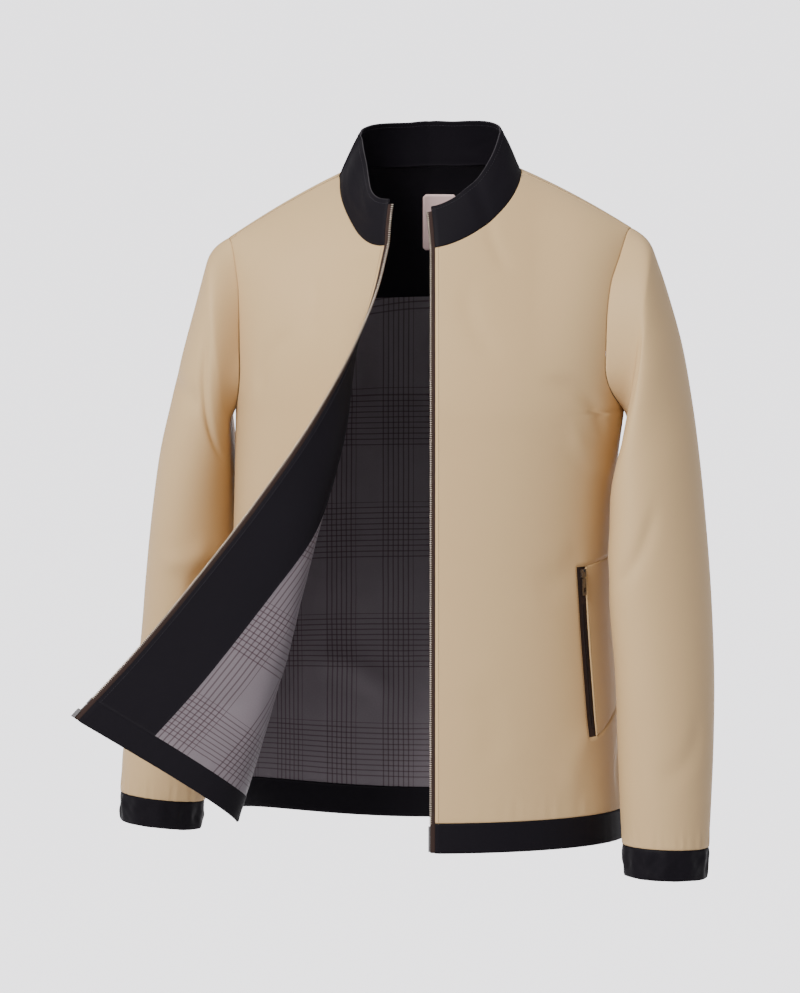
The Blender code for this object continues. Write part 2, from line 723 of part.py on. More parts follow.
def make_front(side, word):
    places = front_places(side)
    places.insert(0, hem_row(places[0], lambda _, row: front_width(side, row)))
    whole = frames(places, partial(front_frame, side))
    if side < 0:
        whole = evened(whole)
    band = pull_in(part_of(whole, slice(0, 2), EVERY), "t", BAND_GAP)
    wall("band_" + word, pull_in(band, "r"), 0, BAND, BLACK)
    edges[side] = [line[0] for line in places], whole[1][:, 0]
    grid = part_of(whole, slice(1, None), EVERY)
    fronts[side] = grid
    points, out = pull_in(part_of(grid, EVERY, EVERY), "btr")
    present = np.ones((len(points) - 1, CELLS_ACROSS), bool)
    present[FIRST_POCKET:LAST_POCKET, ZIP_COLUMN:] = False
    inner = points[POCKET, ZIP_COLUMN] - points[POCKET, ZIP_COLUMN - 1]
    points[POCKET, ZIP_COLUMN] -= inner / np.linalg.norm(inner, axis=1)[:, None] * GAP / 2
    for line, way in ((FIRST_POCKET, -1), (LAST_POCKET, 1)):
        step = points[line + way, ZIP_COLUMN:] - points[line, ZIP_COLUMN:]
        points[line, ZIP_COLUMN:] += step / np.linalg.norm(step, axis=1)[:, None] * GAP / 2
    wall("front_" + word, (points, out), 0, SHELL, CLOTH, present)
    side_piece = part_of(grid, POCKET, slice(ZIP_COLUMN + 1, None))
    wall("pocket_side_" + word, pull_in(side_piece, "btlr"), 0, SHELL, CLOTH)
    strip = part_of(grid, POCKET, slice(ZIP_COLUMN, ZIP_COLUMN + 2))
    wall("pocket_zip_" + word, pull_in(strip, "btlr"), STRIP_DEPTH, SHELL, TAPE)
    facing = part_of(grid, EVERY, slice(0, FACING_CELLS + 1))
    wall("facing_" + word, pull_in(facing, "btr"), LAYER, LINING, BLACK)
    lined = part_of(grid, EVERY, slice(FACING_CELLS, None))
    wall("lining_" + word, pull_in(lined, "btlr"), LAYER, LINING, CHECK)


for side, word in SIDES.items():
    make_front(side, word)

# ---------------------------------------------------------------- back
places = back_places()
back_grid = frames(places, back_frame)
wall("back", pull_in(part_of(back_grid, EVERY, EVERY), "btlr"), 0, SHELL, CLOTH)
YOKE_LINE = len(ROWS_BELOW) - 1 + len(YOKE_SHARES)
lined = part_of(back_grid, slice(0, YOKE_LINE + 1), EVERY)
wall("lining_back", pull_in(lined, "btlr"), LAYER, LINING, CHECK)
facing = part_of(back_grid, slice(YOKE_LINE, None), EVERY)
wall("neck_facing", pull_in(facing, "btlr"), LAYER, LINING, BLACK)
hem = frames([hem_row(places[0], back_width), places[0]], back_frame)
wall("band_back", pull_in(hem, "tlr"), 0, BAND, BLACK)


def on_back(x, z):
    """Point and direction on the back's own cells, near its centre line."""
    points = back_grid[0]
    i = float(np.interp(z, points[:, BACK_CELLS, 2], range(len(points))))
    j = float(np.interp(x, points[round(i), :, 0], range(points.shape[1])))
    k, m = int(i), int(j)
    return [(part[k, m] * (k + 1 - i) + part[k + 1, m] * (i - k)) * (m + 1 - j)
            + (part[k, m + 1] * (k + 1 - i) + part[k + 1, m + 1] * (i - k)) * (j - m)
            for part in back_grid]


label = [[(x, z) for x in np.linspace(LABEL_LEFT, LABEL_RIGHT, 4)]
         for z in np.linspace(LABEL_BOTTOM, LABEL_TOP, 5)]
wall("neck_label", frames(label, on_back), LAYER + LINING + LABEL_CLEAR, LABEL_THICK, SATIN)

# ---------------------------------------------------------------- sleeves and cuffs
ARM_RINGS = (0, 0.3, 0.65, 1, 1.5, 2, 2.6, 3.3, 4, 5, 6, 7, 8, 9, 10, 11)
CUFF_ROWS = (0, 0.3, 0.7, 1)


def arm_point(side, arm, station, around):
    """Point of a sleeve: around is 0 on the outside of the arm, 90 in front, 180 inside."""
    at = {name: read(station) for name, read in arm.items()}
    turn = math.radians(around)
    lean = math.radians(around + at["turn"])
    half_x = (at["outer_x"] - at["inner_x"]) / 2
    half_z = (at["outer_z"] - at["inner_z"]) / 2
    return np.array((side * (at["inner_x"] + half_x + half_x * math.cos(lean)),
                     at["middle_y"] - at["half_depth"] * math.sin(turn),
                     at["inner_z"] + half_z + half_z * math.cos(turn)))


def outward(points):
    """Outward directions of a tube's grid."""
    up = np.gradient(points, axis=0)
    across = np.roll(points, -1, axis=1) - np.roll(points, 1, axis=1)
    out = np.cross(across, up)
    out /= np.linalg.norm(out, axis=2, keepdims=True)
    away = points - points.mean(axis=1, keepdims=True)
    return out if (out * away).sum() > 0 else -out


def armhole_loop(side):
    """Armhole seam from the shoulder down the front and up the back, and degrees round."""
    chest = len(ROWS_BELOW) - 1
    column = -1 if side > 0 else 0
    points, out = (np.vstack((front[chest:, -1][::-1], back[chest:, column][1:-1]))
                   for front, back in zip(fronts[side], back_grid))
    steps = np.linalg.norm(np.roll(points, -1, axis=0) - points, axis=1)
    along = np.concatenate(((0,), np.cumsum(steps)[:-1]))
    half = along[len(UPPER_SHARES)]
    around = np.where(along <= half, along / half * 180,
                      180 + (along - half) / (steps.sum() - half) * 180)
    return points, out, around


def make_sleeve(side, word, table):
    arm = {name: through(table, name) for name in Arm._fields[1:]}
    seam, seam_out, around = armhole_loop(side)
    first = np.array([arm_point(side, arm, 1, a) for a in around])
    slope = (np.array([arm_point(side, arm, 1.02, a) for a in around]) - first) / 0.02
    start = 1.5 * (first - seam) - 0.5 * slope
    points = np.array([between(seam, start, first, slope, s) if s < 1
                       else [arm_point(side, arm, s, a) for a in around] for s in ARM_RINGS])
    out = outward(points)
    share = (1 + np.cos(np.radians(around)))[:, None] / 2
    out[0] = share * seam_out + (1 - share) * out[0]
    out[0] /= np.linalg.norm(out[0], axis=1, keepdims=True)
    wall("sleeve_" + word, pull_in((points, out), "bt", GAP), 0, SHELL, CLOTH, tube=True)
    last = table[-1].station
    middles = [(arm_point(side, arm, s, 0) + arm_point(side, arm, s, 180)) / 2
               for s in (last - 0.4, last)]
    down = (middles[1] - middles[0]) / np.linalg.norm(middles[1] - middles[0])
    rings = []
    for h in CUFF_ROWS:
        ring = []
        for n in range(4 * CUFF_GATHERS):
            turn = n / (4 * CUFF_GATHERS) * 2 * math.pi
            arm_out = arm_point(side, arm, last, math.degrees(turn)) - middles[1]
            wave = math.cos(CUFF_GATHERS * turn + 1.3 * math.sin(3 * turn))
            swell = CUFF_GATHER_DEPTH * wave * (0.35 + 0.65 * math.sin(math.pi * h))
            reach = 1 - CUFF_TAPER * h + swell / np.linalg.norm(arm_out)
            ring.append(middles[1] + arm_out * reach + down * (GAP + h * CUFF_HEIGHT))
        rings.append(ring)
    rings = np.array(rings)
    wall("cuff_" + word, (rings, outward(rings)), 0, CUFF, BLACK, tube=True)


make_sleeve(1, "left", SLEEVE_LEFT)
make_sleeve(-1, "right", SLEEVE_RIGHT)

# ---------------------------------------------------------------- stand collar
def neck_line(k):
    """Points (k = 0) or directions (k = 1) of the neck seam, from right front to left."""
    middle = back_grid[k][-1, BACK_CELLS - NECK_CELLS + 1:BACK_CELLS + NECK_CELLS]
    return np.vstack((fronts[-1][k][-1, :NECK_CELLS + 1], middle,
                      fronts[1][k][-1, NECK_CELLS::-1]))


neck = neck_line(0)
along = np.concatenate(((0,), np.cumsum(np.linalg.norm(np.diff(neck, axis=0), axis=1))))
centre = len(neck) // 2
inward = np.gradient(neck, axis=0)[:, [1, 0, 2]] * (1, -1, 0)
inward[1:-1] = (inward[:-2] + 2 * inward[1:-1] + inward[2:]) / 4
inward /= np.linalg.norm(inward, axis=1, keepdims=True)
leans = []
for n, length in enumerate(along):
    reach = along[centre] if n < centre else along[-1] - along[centre]
    share = smooth(abs(length - along[centre]) / reach / COLLAR_TURN)
    lean = COLLAR_LEAN_BACK + (COLLAR_LEAN_FRONT - COLLAR_LEAN_BACK) * share
    lean += (COLLAR_LEAN_END - COLLAR_LEAN_FRONT) * smooth(1 - length / along[centre] / END_REACH)
    leans.append(math.radians(lean))
cosines = np.cos(leans)[:, None]
sines = np.sin(leans)[:, None]
upright = np.array((0, 0, 1.0))
rise = inward * sines + upright * cosines
collar_out = upright * sines - inward * cosines


def collar_row(h):
    """Points of the collar's outer side at a share h of its height."""
    return neck + rise * (GAP + COLLAR_HEIGHT * h) + collar_out * COLLAR_ROUND * 4 * h * (1 - h)


stand = (np.array([collar_row(h) for h in (0, 1 / 3, 2 / 3, 1)]),
         np.array([neck_line(1)] + [collar_out] * 3))
wall("collar_outer", stand, 0, SHELL, BLACK)
wall("collar_inner", stand, LAYER, SHELL, BLACK)


# ---------------------------------------------------------------- front zip
def make_tape(side, word):
    """The visible strip of a zip tape, up the front's edge and the end of the collar."""
    ends = (TAPE_EDGE, FRONT_EDGE - GAP)
    places, out = edges[side]
    points = [[front_point(side, row, u) for u in ends] for row, _ in places]
    out = np.stack((out, out), axis=1)
    end, near = (-1, -2) if side > 0 else (0, 1)
    way = (neck[end] - neck[near]) / np.linalg.norm(neck[end] - neck[near])
    high = [[collar_row(h)[end] + way * (FRONT_EDGE - u) for u in ends]
            for h in (0.15, 0.5, ZIP_TOP)]
    points = np.vstack((points, high))
    out = np.vstack((out, [[collar_out[end]] * 2] * 3))
    wall("zip_tape_" + word, (points, out), TAPE_OUT, TAPE_IN - TAPE_OUT, TAPE)


for side, word in SIDES.items():
    make_tape(side, word)


def make_zip_end(name, side, low, high, reach, depth, thickness):
    """A hard piece on the free edge of a zip, from low to high above the hem."""
    rows = [HEM_Z + h - CHEST_Z for h in np.linspace(low, high, 3)]
    grid = frames([[(row, u) for u in (-reach, TAPE_EDGE - GAP)] for row in rows],
                  partial(front_frame, side))
    wall(name, grid, depth, thickness, METAL)


make_zip_end("zip_pin", 1, 0.0008, 0.027, 0.0021, 0.0003, 0.0018)
make_zip_end("zip_box", -1, 0.0005, 0.011, 0.0042, -0.0006, 0.0036)


# ---------------------------------------------------------------- sliders and pull tabs
def make_slider(slider_name, pull_name, side, z, line):
    """Slider seated on a zip, and its pull tab hanging from the hinge between its cheeks."""
    here, out = front_frame(side, z - CHEST_Z, line(z))
    below, _ = front_frame(side, z - 0.01 - CHEST_Z, line(z - 0.01))
    down = below - here
    down -= out * (down @ out)
    down /= np.linalg.norm(down)
    across = np.cross(out, down)
    corners = [here + down * run + across * a + out * o
               for run in SLIDER_ENDS for a, o in SLIDER_PROFILE]
    count = len(SLIDER_PROFILE)
    faces = [list(range(count)), list(range(2 * count - 1, count - 1, -1))]
    faces += [[n, n + count, (n + 1) % count + count, (n + 1) % count] for n in range(count)]
    solid(slider_name, corners, faces, METAL)
    pivot = here + out * HINGE_HEIGHT
    hang = max(math.atan2(-out[2], -down[2]), 0)
    way = down * math.cos(hang) + out * math.sin(hang)
    face = out * math.cos(hang) - down * math.sin(hang)
    points = np.array([[pivot + way * run + across * a for a in PULL_COLUMNS] for run in PULL_ROWS])
    wall(pull_name, (points, np.broadcast_to(face, points.shape)), -PULL_THICK / 2, PULL_THICK,
         METAL, np.array(PULL_CELLS, bool), origin=pivot)


for side, word in SIDES.items():
    make_slider("pocket_slider_" + word, "pull_" + word, side, POCKET_TOP_Z - 0.006,
                partial(pocket_line, side))
make_slider("zip_slider", "pull_front", -1, HEM_Z + 0.024, lambda z: ZIP_SLIDER_FROM_EDGE)
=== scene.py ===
import math
from collections import namedtuple
from functools import partial

import bmesh
import bpy
import numpy as np
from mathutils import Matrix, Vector


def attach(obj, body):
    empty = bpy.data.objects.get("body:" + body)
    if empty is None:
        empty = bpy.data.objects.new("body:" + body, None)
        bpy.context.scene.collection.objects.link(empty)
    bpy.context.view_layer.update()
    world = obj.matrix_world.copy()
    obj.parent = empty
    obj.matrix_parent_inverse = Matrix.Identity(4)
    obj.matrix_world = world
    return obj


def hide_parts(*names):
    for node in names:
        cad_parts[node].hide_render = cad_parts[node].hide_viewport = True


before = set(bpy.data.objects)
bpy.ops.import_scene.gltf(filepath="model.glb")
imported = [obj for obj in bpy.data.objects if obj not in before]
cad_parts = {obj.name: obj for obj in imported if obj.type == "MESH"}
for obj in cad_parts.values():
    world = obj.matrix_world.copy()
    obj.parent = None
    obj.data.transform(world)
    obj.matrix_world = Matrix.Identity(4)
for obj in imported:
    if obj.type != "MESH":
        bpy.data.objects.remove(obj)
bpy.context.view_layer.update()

# ---------------------------------------------------------------- camera, floor and light
# The jacket hangs well clear of a wide pale floor, seen from 9 m off and 6 degrees above its
# middle. A large soft box at the front left lights it, with weaker ones round it, and the
# floor is lit brighter from a few metres out on.
VIEW_DOWN = math.radians(6)
VIEW_AWAY = 9.0
VIEW_WIDE = 0.824             # metres across the picture, where the jacket hangs
SENSOR = 36
AIM = Vector((-0.0309, 0, -0.3361))
FLOOR_Z = -1.6
FLOOR_HALF = 90.0             # it fills the picture right up to its top
FLOOR_GREY = (0.60, 0.59, 0.61, 1)
GLOW = 2.25                   # the floor's own light, rising between two distances
GLOW_FROM = 2.2
GLOW_FULL = 4.4
GLOW_IN_FRONT = 0.20          # share of it before the jacket, rising to all of it behind
GLOW_FRONT_Y = -2.0
GLOW_BEHIND_Y = 3.0
GLOW_COLOUR = (1.0, 0.985, 1.02, 1)
ROOM_COLOUR = (0.90, 0.89, 0.92, 1)
ROOM_LIGHT = 0.40
SoftBox = namedtuple("SoftBox", "place size watts colour")
SOFT_BOXES = [
    SoftBox((-2.0, -3.4, 2.5), 1.6, 350, (1, 0.985, 0.965)),
    SoftBox((4.2, -4.0, 1.6), 2.6, 18, (0.97, 0.98, 1)),
    SoftBox((0.5, 3.0, 4.0), 2.6, 60, (1, 1, 1)),
]


def placed(name, data):
    """Puts a mesh, a lamp or a camera in the scene."""
    made = bpy.data.objects.new(name, data)
    bpy.context.scene.collection.objects.link(made)
    return made


def feed(tree, socket, value):
    """Links a socket to another node's output, or sets its value."""
    if isinstance(value, bpy.types.NodeSocket):
        tree.links.new(value, socket)
    elif value is not None:
        socket.default_value = value


def add_node(tree, kind, *inputs, output=0, at=None, **settings):
    """Adds a node, feeds its sockets in order and by name, and returns one of its outputs."""
    made = tree.nodes.new(kind)
    for key, value in settings.items():
        setattr(made, key, value)
    for socket, value in [*enumerate(inputs), *(at or {}).items()]:
        feed(tree, made.inputs[socket], value)
    return made.outputs[output]


class Surface:
    """A node material; its methods add nodes and return the output to go on from."""

    def __init__(self, name):
        self.material = bpy.data.materials.new(name)
        self.material.use_nodes = True
        self.tree = self.material.node_tree

    def node(self, kind, *inputs, **settings):
        return add_node(self.tree, kind, *inputs, **settings)

    def math(self, operation, *inputs):
        return self.node("ShaderNodeMath", *inputs, operation=operation)

    def place(self):
        return self.node("ShaderNodeTexCoord", output="Object")

    def axis(self, vector, name):
        return self.node("ShaderNodeSeparateXYZ", vector, output=name)

    def noise(self, place, scale, detail=None):
        return self.node("ShaderNodeTexNoise", output="Fac",
                         at={"Vector": place, "Scale": scale, "Detail": detail})

    def sine(self, value, period):
        return self.math("SINE", self.math("MULTIPLY", value, 2 * math.pi / period))

    def mix(self, share, low, high):
        """A colour between two, each an output or three numbers."""
        low, high = (c if isinstance(c, bpy.types.NodeSocket) else (*c, 1) for c in (low, high))
        return self.node("ShaderNodeMix", share, output=2, at={6: low, 7: high}, data_type="RGBA")

    def bump(self, height, strength, distance):
        return self.node("ShaderNodeBump",
                         at={"Height": height, "Strength": strength, "Distance": distance})

    def finish(self, sockets):
        """Feeds the shader's own sockets, and returns the material."""
        for name, value in sockets.items():
            feed(self.tree, self.tree.nodes["Principled BSDF"].inputs[name], value)
        return self.material


lens = bpy.data.cameras.new("camera")
lens.sensor_fit = "HORIZONTAL"
lens.sensor_width = SENSOR
lens.lens = SENSOR * VIEW_AWAY / VIEW_WIDE
camera = placed("camera", lens)
camera.location = AIM + Vector((0, -math.cos(VIEW_DOWN), math.sin(VIEW_DOWN))) * VIEW_AWAY
camera.rotation_euler = (math.radians(90) - VIEW_DOWN, 0, 0)
bpy.context.scene.camera = camera

floor_mesh = bpy.data.meshes.new("floor")
floor_mesh.from_pydata([(x * FLOOR_HALF, y * FLOOR_HALF, FLOOR_Z)
                        for x, y in ((-1, -1), (1, -1), (1, 1), (-1, 1))], [], [(0, 1, 2, 3)])
paper = Surface("floor_paper")
spot = paper.place()
away = paper.node("ShaderNodeVectorMath", spot, operation="LENGTH", output="Value")
glow = paper.node("ShaderNodeMapRange", away, GLOW_FROM, GLOW_FULL, 0.0, GLOW,
                  interpolation_type="SMOOTHSTEP")
behind = paper.node("ShaderNodeMapRange", paper.axis(spot, "Y"), GLOW_FRONT_Y, GLOW_BEHIND_Y,
                    GLOW_IN_FRONT, 1.0)
floor_mesh.materials.append(paper.finish({
    "Base Color": FLOOR_GREY, "Roughness": 0.9, "Emission Color": GLOW_COLOUR,
    "Emission Strength": paper.math("MULTIPLY", glow, behind)}))
placed("floor", floor_mesh)

for box in SOFT_BOXES:
    lamp = placed("soft_box", bpy.data.lights.new("soft_box", "AREA"))
    lamp.data.size = box.size
    lamp.data.energy = box.watts
    lamp.data.color = box.colour
    lamp.location = box.place
    lamp.rotation_euler = (AIM - lamp.location).to_track_quat("-Z", "Y").to_euler()
surroundings = bpy.data.worlds.new("pale_room")
surroundings.use_nodes = True
sky = surroundings.node_tree.nodes["Background"]
sky.inputs["Color"].default_value = ROOM_COLOUR
sky.inputs["Strength"].default_value = ROOM_LIGHT
bpy.context.scene.world = surroundings

# ---------------------------------------------------------------- back panel
# One piece of softshell from the band seam over the shoulders to the shoulder seams, which
# lie just in front of the ridge. Cut to the torso's half widths and depths.
SHELL = 0.0012                # thickness of the outer cloth
SEAM_GAP = 0.0003
HEM_Z = -0.686
BAND_HEIGHT = 0.030
BAND_SEAM_Z = HEM_Z + BAND_HEIGHT
BACK_GATHERS = (0.013, 0.03, 0.0007)  # pitch, reach over the band's seam, and depth
CHEST_Z = -0.245              # bottom of the armholes
RIDGE_TOP = 0.0385
RIDGE_ROUND = 0.040
RIDGE_SLOPE = 0.30
RIDGE_CURVE = 0.80
RIGHT_DROP = 0.05
RIDGE_BACK = 0.025
RIDGE_FORWARD = 0.08
SHOULDER_SPREAD = 0.0135
CHEST_POWER = 1.5
SIDE_POWER = 2.0
SHOULDER_SEAM_ROW = 0.913
NECK_HALF = 0.094
NECK_BACK_ROW = 0.730
NECK_BACK_HALF = 0.092
YOKE_Z = -0.139
YOKE_REACH = 0.19
RIGHT_LIFT = 0.026
LIFT_TOP = -0.400
ARMHOLE_FOOT = 0.052
NECK_CELLS = 5
BACK_CELLS = 10

Girth = namedtuple("Girth", "height half_width pull front back")
TORSO = [
    Girth(-0.686, 0.203, 0.000, 0.142, 0.130),
    Girth(-0.550, 0.195, 0.006, 0.140, 0.126),
    Girth(-0.400, 0.189, 0.014, 0.138, 0.125),
    Girth(-0.310, 0.192, 0.009, 0.137, 0.129),
    Girth(-0.245, 0.200, 0.000, 0.135, 0.133),
]
Armhole = namedtuple("Armhole", "row front_left front_right back")
ARMHOLE = [
    Armhole(0.00, 62.0, 75.0, 64.0),
    Armhole(0.20, 62.3, 74.5, 64.5),
    Armhole(0.37, 62.4, 73.0, 66.0),
    Armhole(0.48, 64.1, 72.5, 67.5),
    Armhole(0.59, 68.2, 73.5, 69.5),
    Armhole(1.00, 76.4, 76.4, 76.4),
]


def between(start, start_way, end, end_way, t):
    """Smooth way from start to end at t, leaving and arriving in the given ways."""
    a = 2 * t ** 3 - 3 * t ** 2 + 1
    b = t ** 3 - 2 * t ** 2 + t
    c = t ** 3 - t ** 2
    return a * start + b * start_way + (1 - a) * end + c * end_way


def through(rows, column):
    """Smooth curve through one column of a table, read at any values of its first column."""
    at = np.array([row[0] for row in rows], float)
    value = np.array([getattr(row, column) for row in rows], float)
    slope = np.gradient(value, at)

    def read(s):
        s = np.asarray(s, float)
        k = np.clip(np.searchsorted(at, s) - 1, 0, len(at) - 2)
        span = at[k + 1] - at[k]
        t = np.clip((s - at[k]) / span, 0, 1)
        inside = between(value[k], span * slope[k], value[k + 1], span * slope[k + 1], t)
        return inside + np.minimum(s - at[0], 0) * slope[0] + np.maximum(s - at[-1], 0) * slope[-1]
    return read


def smooth(t):
    t = np.clip(t, 0.0, 1.0)
    return t * t * (3 - 2 * t)


half_width = through(TORSO, "half_width")
side_pull = through(TORSO, "pull")
front_depth = through(TORSO, "front")
back_depth = through(TORSO, "back")
armhole_left = through(ARMHOLE, "front_left")
armhole_right = through(ARMHOLE, "front_right")
armhole_back = through(ARMHOLE, "back")


def ridge_z(side, x):
    """Height of the shoulder line at a distance x from the centre."""
    drop = RIGHT_DROP * x if side < 0 else 0.0
    return RIDGE_TOP - RIDGE_SLOPE * np.hypot(x, RIDGE_ROUND) - RIDGE_CURVE * x * x - drop


def half_reach(side, row):
    z = CHEST_Z + np.minimum(row, 0)
    pull = np.where(row < 0, side_pull(z), 0.0) if side < 0 else 0.0
    return half_width(z) + pull + SHOULDER_SPREAD * np.maximum(np.minimum(row, 2 - row), 0)


def torso(side, angle, row):
    """Points of the closed torso: degrees round from the centre front, and row of the cloth.

    Rows are metres below the chest where negative, and the share of the rise to the
    shoulder line above it, over 1 on its far side.
    """
    angle, row = np.broadcast_arrays(np.asarray(angle, float), np.asarray(row, float))
    angle = np.where(row > 1, 180 - angle, angle)
    row = np.where(row > 1, 2 - row, row)
    front = angle <= 90
    turn = np.radians(np.where(front, angle, 180 - angle))
    z = CHEST_Z + np.minimum(row, 0)
    x = half_reach(side, row) * np.sin(turn)
    y = np.where(front, -front_depth(z), back_depth(z)) * np.cos(turn)
    share = 2 / (CHEST_POWER + (SIDE_POWER - CHEST_POWER) * smooth(2 * np.sin(turn) - 1))
    share = np.where(front, share, 2 / SIDE_POWER)
    rise = np.clip(row, 0, 1) * math.pi / 2
    ridge_y = RIDGE_BACK - RIDGE_FORWARD * np.abs(x)
    high_y = ridge_y + (y - ridge_y) * np.maximum(np.cos(rise), 0) ** share
    high_z = CHEST_Z + (ridge_z(side, np.abs(x)) - CHEST_Z) * np.sin(rise) ** share
    if side < 0:
        low = smooth((LIFT_TOP - z) / (LIFT_TOP - HEM_Z))
        z = z + RIGHT_LIFT * low * np.sin(turn) ** 2
    above = row > 0
    return np.stack((side * x, np.where(above, high_y, y), np.where(above, high_z, z)), axis=-1)


def row_at(side, x, z, power):
    """The row that passes through height z at distance x from the centre."""
    share = (z - CHEST_Z) / (ridge_z(side, x) - CHEST_Z)
    return np.arcsin(np.minimum(share, 1) ** (power / 2)) * 2 / math.pi


def end_angle(side, front, row):
    """Where a front or the back ends: the side seam, or the armhole above the chest."""
    if row > 1:
        return end_angle(side, not front, 2 - row)
    if row <= 0:
        return 90.0
    seam = armhole_back if not front else armhole_left if side > 0 else armhole_right
    upper = float(seam(min(row, 1)))
    rise = float(torso(side, upper if front else 180 - upper, row)[2]) - CHEST_Z
    k = 1 - min(rise / ARMHOLE_FOOT, 1)
    return upper + (90 - upper) * (1 - math.sqrt(1 - k * k))


# cloth lengths round the torso from the centre line, by row and angle, and the angles back
RING_ROWS = np.concatenate((np.arange(-0.49, -0.001, 0.005), np.linspace(0, 1, 81)))
RING_ANGLES = np.linspace(-8, 98, 213)
CENTRE_ANGLE = 16             # the column of 0 degrees
CLOTH_STEP = 0.003
CLOTH_STEPS = np.arange(-0.012, 0.345, CLOTH_STEP)


def run_along(points):
    """Distance along a line of points, from its start."""
    return np.concatenate(((0,), np.cumsum(np.linalg.norm(np.diff(points, axis=0), axis=1))))


def unit(ways):
    return ways / np.linalg.norm(ways, axis=-1, keepdims=True)


lengths = {}
angles_back = {}
for side in (1, -1):
    for front in (True, False):
        turned_angles = RING_ANGLES if front else 180 - RING_ANGLES
        ring = torso(side, turned_angles[None, :], RING_ROWS[:, None])
        length = np.array([run_along(line) for line in ring])
        length -= length[:, [CENTRE_ANGLE]]
        lengths[side, front] = length
        angles_back[side, front] = np.array([np.interp(CLOTH_STEPS, line, RING_ANGLES)
                                             for line in length])


def table_at(table, row, column):
    """Value of a table between its lines, at fractional line and column numbers."""
    i = np.clip(row, 0, table.shape[0] - 1.001)
    j = np.clip(column, 0, table.shape[1] - 1.001)
    k, m = i.astype(int), j.astype(int)
    s, t = i - k, j - m
    return ((table[k, m] * (1 - t) + table[k, m + 1] * t) * (1 - s)
            + (table[k + 1, m] * (1 - t) + table[k + 1, m + 1] * t) * s)


def ring_line(row):
    """Line of the tables at a row; beyond the shoulder line they belong to the other half."""
    return np.interp(np.where(row > 1, 2 - row, row), RING_ROWS, np.arange(len(RING_ROWS)))


def ring_column(angle):
    return (angle - RING_ANGLES[0]) / (RING_ANGLES[1] - RING_ANGLES[0])


def width_of(side, front, row):
    """Cloth from the centre line to the end of a front or the back, on each row."""
    flat = np.ravel(np.asarray(row, float))
    column = ring_column(np.array([end_angle(side, front, r) for r in flat]))
    here = table_at(lengths[side, front], ring_line(flat), column)
    there = table_at(lengths[side, not front], ring_line(flat), column)
    return np.where(flat > 1, there, here).reshape(np.shape(row))


def closed_point(side, front, row, u):
    """Points of the closed jacket, u metres of cloth from the centre line."""
    row, u = np.broadcast_arrays(np.asarray(row, float), np.asarray(u, float))
    line, column = ring_line(row), (u - CLOTH_STEPS[0]) / CLOTH_STEP
    angle = np.where(row > 1, table_at(angles_back[side, not front], line, column),
                     table_at(angles_back[side, front], line, column))
    return torso(side, angle if front else 180 - angle, row)


def back_point(row, v):
    return np.where((v >= 0)[..., None], closed_point(1, False, row, np.abs(v)),
                    closed_point(-1, False, row, np.abs(v)))


def back_width(v, row):
    return np.where(v >= 0, width_of(1, False, row), width_of(-1, False, row))


def cloth_to(side, front, x, row):
    """Cloth from the centre line to a distance x, along a row of the closed jacket."""
    angle = np.degrees(np.arcsin(np.minimum(x / half_reach(side, row), 1)))
    return table_at(lengths[side, front], ring_line(row), ring_column(angle))


# creases: start and end in the cloth (across, height), half width, and depth in (negative)
# or out; the height goes on above the chest by 0.3 m to the shoulder line
Crease = namedtuple("Crease", "across0 height0 across1 height1 wide deep")
CHEST_TO_SHOULDER = 0.30
CREASE_BOW = 0.12             # a crease bows by this share of its length
CREASE_FADE = 0.35            # and fades over this share at each end


def cloth_height(row):
    return CHEST_Z + np.where(row > 0, CHEST_TO_SHOULDER * row, row)


def creased(creases, across, height):
    """How far the creases move the cloth out at each place."""
    out = np.zeros(np.shape(across))
    for c in creases:
        along = np.array((c.across1 - c.across0, c.height1 - c.height0))
        reach = np.linalg.norm(along)
        along /= reach
        s = ((across - c.across0) * along[0] + (height - c.height0) * along[1]) / reach
        far = (across - c.across0) * -along[1] + (height - c.height0) * along[0]
        bow = CREASE_BOW * reach * np.sin(math.pi * np.clip(s, 0, 1))
        far = far + (bow if c.deep < 0 else -bow)
        ends = np.clip(np.minimum(s, 1 - s) / CREASE_FADE + 0.25, 0, 1)
        out = out + c.deep * np.exp(-(far / c.wide) ** 2) * smooth(ends)
    return out


def puckers(across, height, seam, pitch, reach, deep):
    """Small gathers where a band holds the cloth in, fading above its seam."""
    wave = np.sin(across / pitch * 2 * math.pi + 1.7 * np.sin(across / pitch * 0.9))
    wave = wave * (0.55 + 0.45 * np.sin(across / pitch * 2.3 + 1))
    rise = np.clip((height - seam) / reach, 0, 1)
    return deep * wave * (1 - smooth(rise)) * np.minimum(1, 0.35 + rise * 3)


BACK_CREASES = [
    Crease(-0.165, -0.300, -0.060, -0.215, 0.012, -0.0033),
    Crease(0.165, -0.305, 0.070, -0.225, 0.011, -0.0030),
    Crease(-0.190, -0.360, -0.120, -0.300, 0.013, 0.0024),
    Crease(0.195, -0.365, 0.120, -0.310, 0.012, 0.0023),
    Crease(0.030, -0.470, 0.120, -0.520, 0.014, -0.0021),
    Crease(-0.040, -0.560, -0.130, -0.520, 0.015, -0.0023),
]


LOOK = 0.0015                 # directions are read over this much cloth each side
LAST_ROW = 1.6


def directions(surface, row, u, side):
    """Outward directions of a surface at each place."""
    step = np.where(row > 0, 2 * LOOK, LOOK)
    up = surface(np.minimum(row + step, LAST_ROW), u) - surface(row - step, u)
    across = surface(row, u + LOOK) - surface(row, u - LOOK)
    return unit(np.cross(across, up) * side)


def back_grid(row, v):
    """Points, outward directions and cloth coordinates of the back."""
    out = directions(back_point, row, v, -1)
    height = cloth_height(row)
    lift = creased(BACK_CREASES, v, height) + puckers(v, height, BAND_SEAM_Z, *BACK_GATHERS)
    return back_point(row, v) + out * lift[..., None], out, np.stack((v, height), axis=-1)


